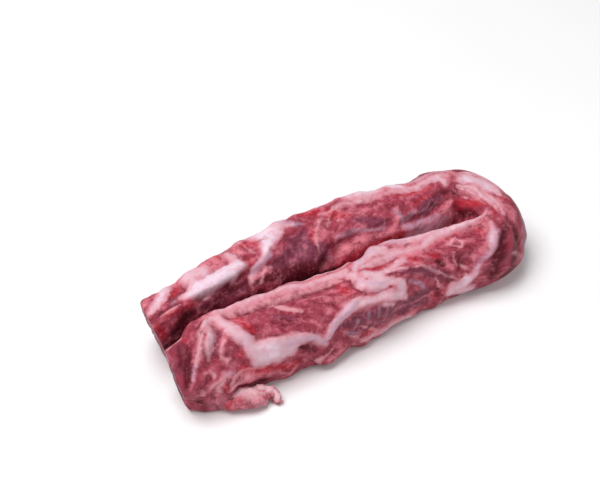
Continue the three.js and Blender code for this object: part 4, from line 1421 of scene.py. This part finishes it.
fatTexture = {
    "tatter": 0.6,  # noise cells for each mm
    "lump": 0.42,
    "thin": 0.17,
    "vein": 0.3,
    "faintEnd": -0.7,  # mm of depth at which the fat is gone and full
    "fullEnd": 0.6,
    "thinner": 0.8,  # mm deeper where it is thin
    "lumpDepth": 5.0,
    "thick": (-0.2, 2.6),
    "thinEdge": (0.4, 0.6),
    "white": (0.3, 0.55, 0.35, 1.0),
    "veins": (0.52, 0.7, 0.0, 0.45),
}


def fatToneGroup():
    look = fatTexture
    inputs = [("Place", "NodeSocketVector", None)]
    inputs += [(label, "NodeSocketFloat", 0.0) for label in ("Depth", "White", "Ragged")]
    inputs += [(label, "NodeSocketColor", None) for label in ("Thin Fat", "Thick Fat", "White Fat")]
    outputs = [("Color", "NodeSocketColor"), ("Mask", "NodeSocketFloat"), ("Lump", "NodeSocketFloat")]
    tree, take, give = newGroup("fatTone", inputs, outputs)
    tatter = noiseValue(tree, take["Place"], look["tatter"])
    depth = plus(tree, take["Depth"], times(tree, minus(tree, tatter, 0.5), take["Ragged"]))
    lump = noiseValue(tree, take["Place"], look["lump"], 3.0, 0.55)
    thin = ramp(tree, noiseValue(tree, take["Place"], look["thin"], 2.0, 0.5), *look["thinEdge"])
    faintEnd = minus(tree, look["faintEnd"], thin)
    fullEnd = plus(tree, look["fullEnd"], times(tree, thin, look["thinner"]))
    mask = ramp(tree, depth, faintEnd, fullEnd)
    thick = plus(tree, depth, times(tree, minus(tree, lump, 0.5), look["lumpDepth"]))
    color = blendColor(tree, ramp(tree, thick, *look["thick"]), take["Thin Fat"], take["Thick Fat"])
    white = times(tree, take["White"], ramp(tree, lump, *look["white"]))
    color = blendColor(tree, white, color, take["White Fat"])
    vein = ramp(tree, noiseValue(tree, take["Place"], look["vein"]), *look["veins"])
    color = blendColor(tree, vein, color, take["Thin Fat"])
    for label, value in zip(("Color", "Mask", "Lump"), (color, mask, lump)):
        tree.links.new(value, give[label])
    return tree


# Silverskin: a thin lilac film that lets the muscle show through

silverskinTexture = {"threads": (3.0, 1.6), "cover": (0.3, 0.7, 0.3, 0.62)}


def silverskinGroup():
    inputs = [("Color", "NodeSocketColor", None), ("Grain", "NodeSocketVector", None),
              ("Amount", "NodeSocketFloat", 0.0), ("Film Color", "NodeSocketColor", None)]
    tree, take, give = newGroup("silverskin", inputs, [("Color", "NodeSocketColor")])
    threads = stretched(tree, take["Grain"], *silverskinTexture["threads"])
    threads = noiseValue(tree, threads, 1.0, 3.0, 0.55, "2D")
    share = times(tree, take["Amount"], ramp(tree, threads, *silverskinTexture["cover"]))
    tree.links.new(blendColor(tree, share, take["Color"], take["Film Color"]), give["Color"])
    return tree


# Wetness: how rough the surface is and how much juice lies on it

wetTexture = {
    "patches": 0.22,  # noise cells for each mm
    "beads": 0.6,
    "patchEdge": (0.38, 0.62),
    "beadEdge": (0.54, 0.64),
    "coat": 0.3,
}


def wetnessGroup():
    inputs = [("Place", "NodeSocketVector", None)]
    inputs += [(label, "NodeSocketFloat", 0.0) for label in ("Driest", "Wettest")]
    outputs = [(label, "NodeSocketFloat") for label in ("Roughness", "Coat")]
    tree, take, give = newGroup("wetness", inputs, outputs)
    wet = ramp(tree, noiseValue(tree, take["Place"], wetTexture["patches"]), *wetTexture["patchEdge"])
    beads = ramp(tree, noiseValue(tree, take["Place"], wetTexture["beads"]), *wetTexture["beadEdge"])
    spread = minus(tree, take["Wettest"], take["Driest"])
    tree.links.new(plus(tree, take["Driest"], times(tree, spread, wet)), give["Roughness"])
    tree.links.new(times(tree, times(tree, wet, beads), wetTexture["coat"]), give["Coat"])
    return tree


groups = {
    "grain": muscleGrainGroup(),
    "tone": muscleToneGroup(),
    "fat": fatToneGroup(),
    "silverskin": silverskinGroup(),
    "wetness": wetnessGroup(),
}
print("node groups built")


def placeGroup(tree, label, **inputs):
    node = addNode(tree, "ShaderNodeGroup", node_tree=groups[label])
    for key, value in inputs.items():
        setInput(tree, node.inputs[key.replace("_", " ")], value)
    return node.outputs


def srgb(red, green, blue):  # a colour as it is read off a picture, 0 to 255, for a shader socket
    def linear(value):
        value /= 255
        return value / 12.92 if value <= 0.04045 else ((value + 0.055) / 1.055) ** 2.4
    return (linear(red), linear(green), linear(blue), 1)


# What differs between the skin, the cut ends and the flap
skinLook = {
    "plainRed": (150, 58, 75),
    "freshRed": (172, 37, 51),
    # dark maroon meat, and also the colour of the painted shade in the slot, the cut face's valley and the
    # creases
    "darkRedAndShade": (84, 14, 28),
    "purpleRed": (113, 51, 72),
    "pink": (208, 120, 134),
    "thinFat": (202, 136, 148),
    "thickFat": (208, 168, 180),
    "whiteFat": (218, 194, 208),
    "paleLine": (210, 146, 156),
    "rosy": (222, 108, 112),
    "film": (184, 150, 172),
    "ragged": 2.0,
    "waver": 2.4,
    "contrast": 0.62,
    "lines": 0.14,
    "driest": 0.52,
    "wettest": 0.34,
    "bump": 0.3,
}
cutLook = {**skinLook, "plainRed": (132, 50, 70), "pink": (172, 96, 116),
           "lines": 0.1, "waver": 5.0, "bump": 0.5}
flapLook = {**skinLook, "thinFat": (204, 141, 151), "thickFat": (218, 170, 176), "whiteFat": (224, 196, 202),
            "ragged": 2.6, "lines": 0.2, "bump": 0.5}

# The same for all three
meatShader = {
    "Coat Roughness": 0.18,
    "Specular IOR Level": 0.1,
    "Subsurface Weight": 0.2,
    "Subsurface Radius": (1.0, 0.32, 0.24),
    "Subsurface Scale": 0.0016,
}
meatMix = {
    "calm": 0.85,  # share of the mottling that calm places lose
    "rosy": 0.75,  # how far pale lines redden in bright meat
    "sway": 3.0,  # mm by which cloudiness moves their edges
    "paleLine": (-1.0, 0.8, 0.0, 0.85),
    "cloudHeight": 0.6,
    "bumpHeight": 0.0004,
}


def meatMaterial(name, look):
    material = bpy.data.materials.new(name)
    material.use_nodes = True
    tree = material.node_tree
    tree.nodes.clear()
    output = tree.nodes.new("ShaderNodeOutputMaterial")
    paint = {label: srgb(*value) for label, value in look.items() if isinstance(value, tuple)}
    grain = addNode(tree, "ShaderNodeUVMap", uv_map="grain").outputs["UV"]
    spot = vectorMath(tree, "SCALE", addNode(tree, "ShaderNodeTexCoord").outputs["Object"], 1 / mm)
    tissue = {kind: addNode(tree, "ShaderNodeAttribute", attribute_name=kind).outputs["Fac"]
              for kind in tissueKinds}

    fibre = placeGroup(tree, "grain", Grain=grain, Place=spot, Waver=look["waver"])
    busy = minus(tree, 1.0, times(tree, tissue["calm"], meatMix["calm"]))
    # Deep and Crease carry painted shade: in the slot, the cut face's valley and the creases
    muscle = placeGroup(
        tree, "tone", Contrast=times(tree, busy, look["contrast"]),
        Streak=fibre["Streak"], Bundle=fibre["Bundle"], Cloud=fibre["Cloud"], Speck=fibre["Speck"],
        Rosy=tissue["pink"], Bright=tissue["bright"], Deep=tissue["deep"], Crease=tissue["crease"],
        Purple=tissue["purple"], Plain_Red=paint["plainRed"], Fresh_Red=paint["freshRed"],
        Dark_Red=paint["darkRedAndShade"], Purple_Red=paint["purpleRed"], Pink=paint["pink"])
    fat = placeGroup(
        tree, "fat", Place=spot, Depth=tissue["fat"], White=tissue["white"], Ragged=look["ragged"],
        Thin_Fat=paint["thinFat"], Thick_Fat=paint["thickFat"], White_Fat=paint["whiteFat"])
    marbled = times(tree, times(tree, fibre["Lines"], busy), look["lines"])
    color = blendColor(tree, marbled, muscle["Color"], paint["paleLine"])
    rosy = times(tree, tissue["bright"], meatMix["rosy"])
    paleColor = blendColor(tree, rosy, paint["paleLine"], paint["rosy"])
    sway = times(tree, minus(tree, fibre["Cloud"], 0.5), meatMix["sway"])
    pale = ramp(tree, plus(tree, tissue["pale"], sway), *meatMix["paleLine"])
    color = blendColor(tree, pale, color, paleColor)
    color = blendColor(tree, fat["Mask"], color, fat["Color"])
    film = placeGroup(
        tree, "silverskin", Color=color, Grain=grain, Amount=tissue["film"], Film_Color=paint["film"])
    wet = placeGroup(tree, "wetness", Place=spot, Driest=look["driest"], Wettest=look["wettest"])

    # fine relief: fibres on the muscle, soft lumps on the fat
    fibreHeight = plus(tree, fibre["Speck"], times(tree, fibre["Cloud"], meatMix["cloudHeight"]))
    inputs = {0: fat["Mask"], 2: fibreHeight, 3: fat["Lump"]}
    height = addNode(tree, "ShaderNodeMix", inputs, data_type="FLOAT").outputs[0]
    inputs = {"Height": height, "Strength": look["bump"], "Distance": meatMix["bumpHeight"]}
    bump = addNode(tree, "ShaderNodeBump", inputs)
    shader = addNode(tree, "ShaderNodeBsdfPrincipled", {
        **meatShader,
        "Base Color": film["Color"],
        "Roughness": wet["Roughness"],
        "Coat Weight": wet["Coat"],
        "Normal": bump.outputs["Normal"],
    })
    tree.links.new(shader.outputs["BSDF"], output.inputs["Surface"])
    return material


print("building the strip")
strip = stripObject()
flaps = [flapObject(name, shape, seeds["flap"] + seeds["nextFlap"] * i)
         for i, (name, shape) in enumerate(flapPieces.items())]
meatMaterials = [
    meatMaterial("moist_meat", skinLook),
    meatMaterial("cut_meat", cutLook),
    meatMaterial("flap_meat", flapLook),
]
for piece in [strip] + flaps:
    for material in meatMaterials:
        piece.data.materials.append(material)

# the flap grows out of the strip
for piece in flaps:
    joint = strip.modifiers.new("joined", "BOOLEAN")
    joint.operation = "UNION"
    joint.solver = "MANIFOLD"
    joint.object = piece
    bpy.context.view_layer.update()
    joined = bpy.data.meshes.new_from_object(strip.evaluated_get(bpy.context.evaluated_depsgraph_get()))
    strip.modifiers.clear()
    strip.data = joined
    bpy.data.objects.remove(piece)
print("strip joined:", len(joined.polygons), "faces")

# the part stands with the middle of its box over the origin
boxMiddle = Vector((5.679, 1.067, 0)) * mm
strip.data.transform(Matrix.Translation(-boxMiddle))
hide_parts("rib_finger")
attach(strip, "root")


# Pale table, soft light and the camera

tableLook = {
    "size": 3.0,
    "color": (238, 237, 238),
    "shade": 0.985,  # the darker places, as a share of the colour
    "clouds": 14.0,  # noise cells for each metre
    "cloudEdge": (0.3, 0.7),
    "Roughness": 0.55,
    "Specular IOR Level": 0.2,
}


def tableMaterial():
    material = bpy.data.materials.new("pale_table")
    material.use_nodes = True
    tree = material.node_tree
    shader = tree.nodes["Principled BSDF"]
    place = addNode(tree, "ShaderNodeTexCoord").outputs["Object"]
    shade = ramp(tree, noiseValue(tree, place, tableLook["clouds"], 3.0, 0.5), *tableLook["cloudEdge"])
    plain = srgb(*tableLook["color"])
    soft = tuple(part * tableLook["shade"] for part in plain[:3]) + (1,)
    tree.links.new(blendColor(tree, shade, plain, soft), shader.inputs["Base Color"])
    for label in ("Roughness", "Specular IOR Level"):
        shader.inputs[label].default_value = tableLook[label]
    return material


tableHalf = tableLook["size"] / 2
tableMesh = bpy.data.meshes.new("pale_table")
corners = [(x * tableHalf, y * tableHalf, 0) for x, y in ((-1, -1), (1, -1), (1, 1), (-1, 1))]
tableMesh.from_pydata(corners, [], [(0, 1, 2, 3)])
tableTop = bpy.data.objects.new("pale_table", tableMesh)
bpy.context.scene.collection.objects.link(tableTop)
tableMesh.materials.append(tableMaterial())

# power in watts, size in metres, place; each lamp faces the origin
lamps = {
    "key": (10.5, 0.7, (-0.3, 0.12, 0.95)),
    "front_fill": (2.4, 1.0, (0.1, -0.95, 0.6)),
}
for name, (watts, size, place) in lamps.items():
    light = bpy.data.lights.new(name, "AREA")
    light.energy = watts
    light.size = size
    lamp = bpy.data.objects.new(name, light)
    lamp.location = place
    lamp.rotation_euler = (-Vector(place)).to_track_quat("-Z", "Y").to_euler()
    bpy.context.scene.collection.objects.link(lamp)

surround = {"Color": (1, 1, 1, 1), "Strength": 0.38}
world = bpy.data.worlds.new("studio")
world.use_nodes = True
for label, value in surround.items():
    world.node_tree.nodes["Background"].inputs[label].default_value = value
bpy.context.scene.world = world
bpy.context.scene.view_settings.view_transform = "Standard"

# degrees, metres, and the lens in mm
view = {
    "azimuth": -32,
    "elevation": 42,
    "distance": 0.6,
    "target": (-0.00028, 0.03213, 0.012),
    "lens": 85,
    "sensor": 36,
    "clip": (0.01, 20),
}
azimuth, elevation = math.radians(view["azimuth"]), math.radians(view["elevation"])
away = Vector((
    math.sin(azimuth) * math.cos(elevation),
    -math.cos(azimuth) * math.cos(elevation),
    math.sin(elevation),
))
lens = bpy.data.cameras.new("camera")
lens.lens = view["lens"]
lens.sensor_width = view["sensor"]
lens.clip_start, lens.clip_end = view["clip"]
camera = bpy.data.objects.new("camera", lens)
camera.location = Vector(view["target"]) + away * view["distance"]
camera.rotation_euler = (-away).to_track_quat("-Z", "Y").to_euler()
bpy.context.scene.collection.objects.link(camera)
bpy.context.scene.camera = camera
print("table, lights and camera set")
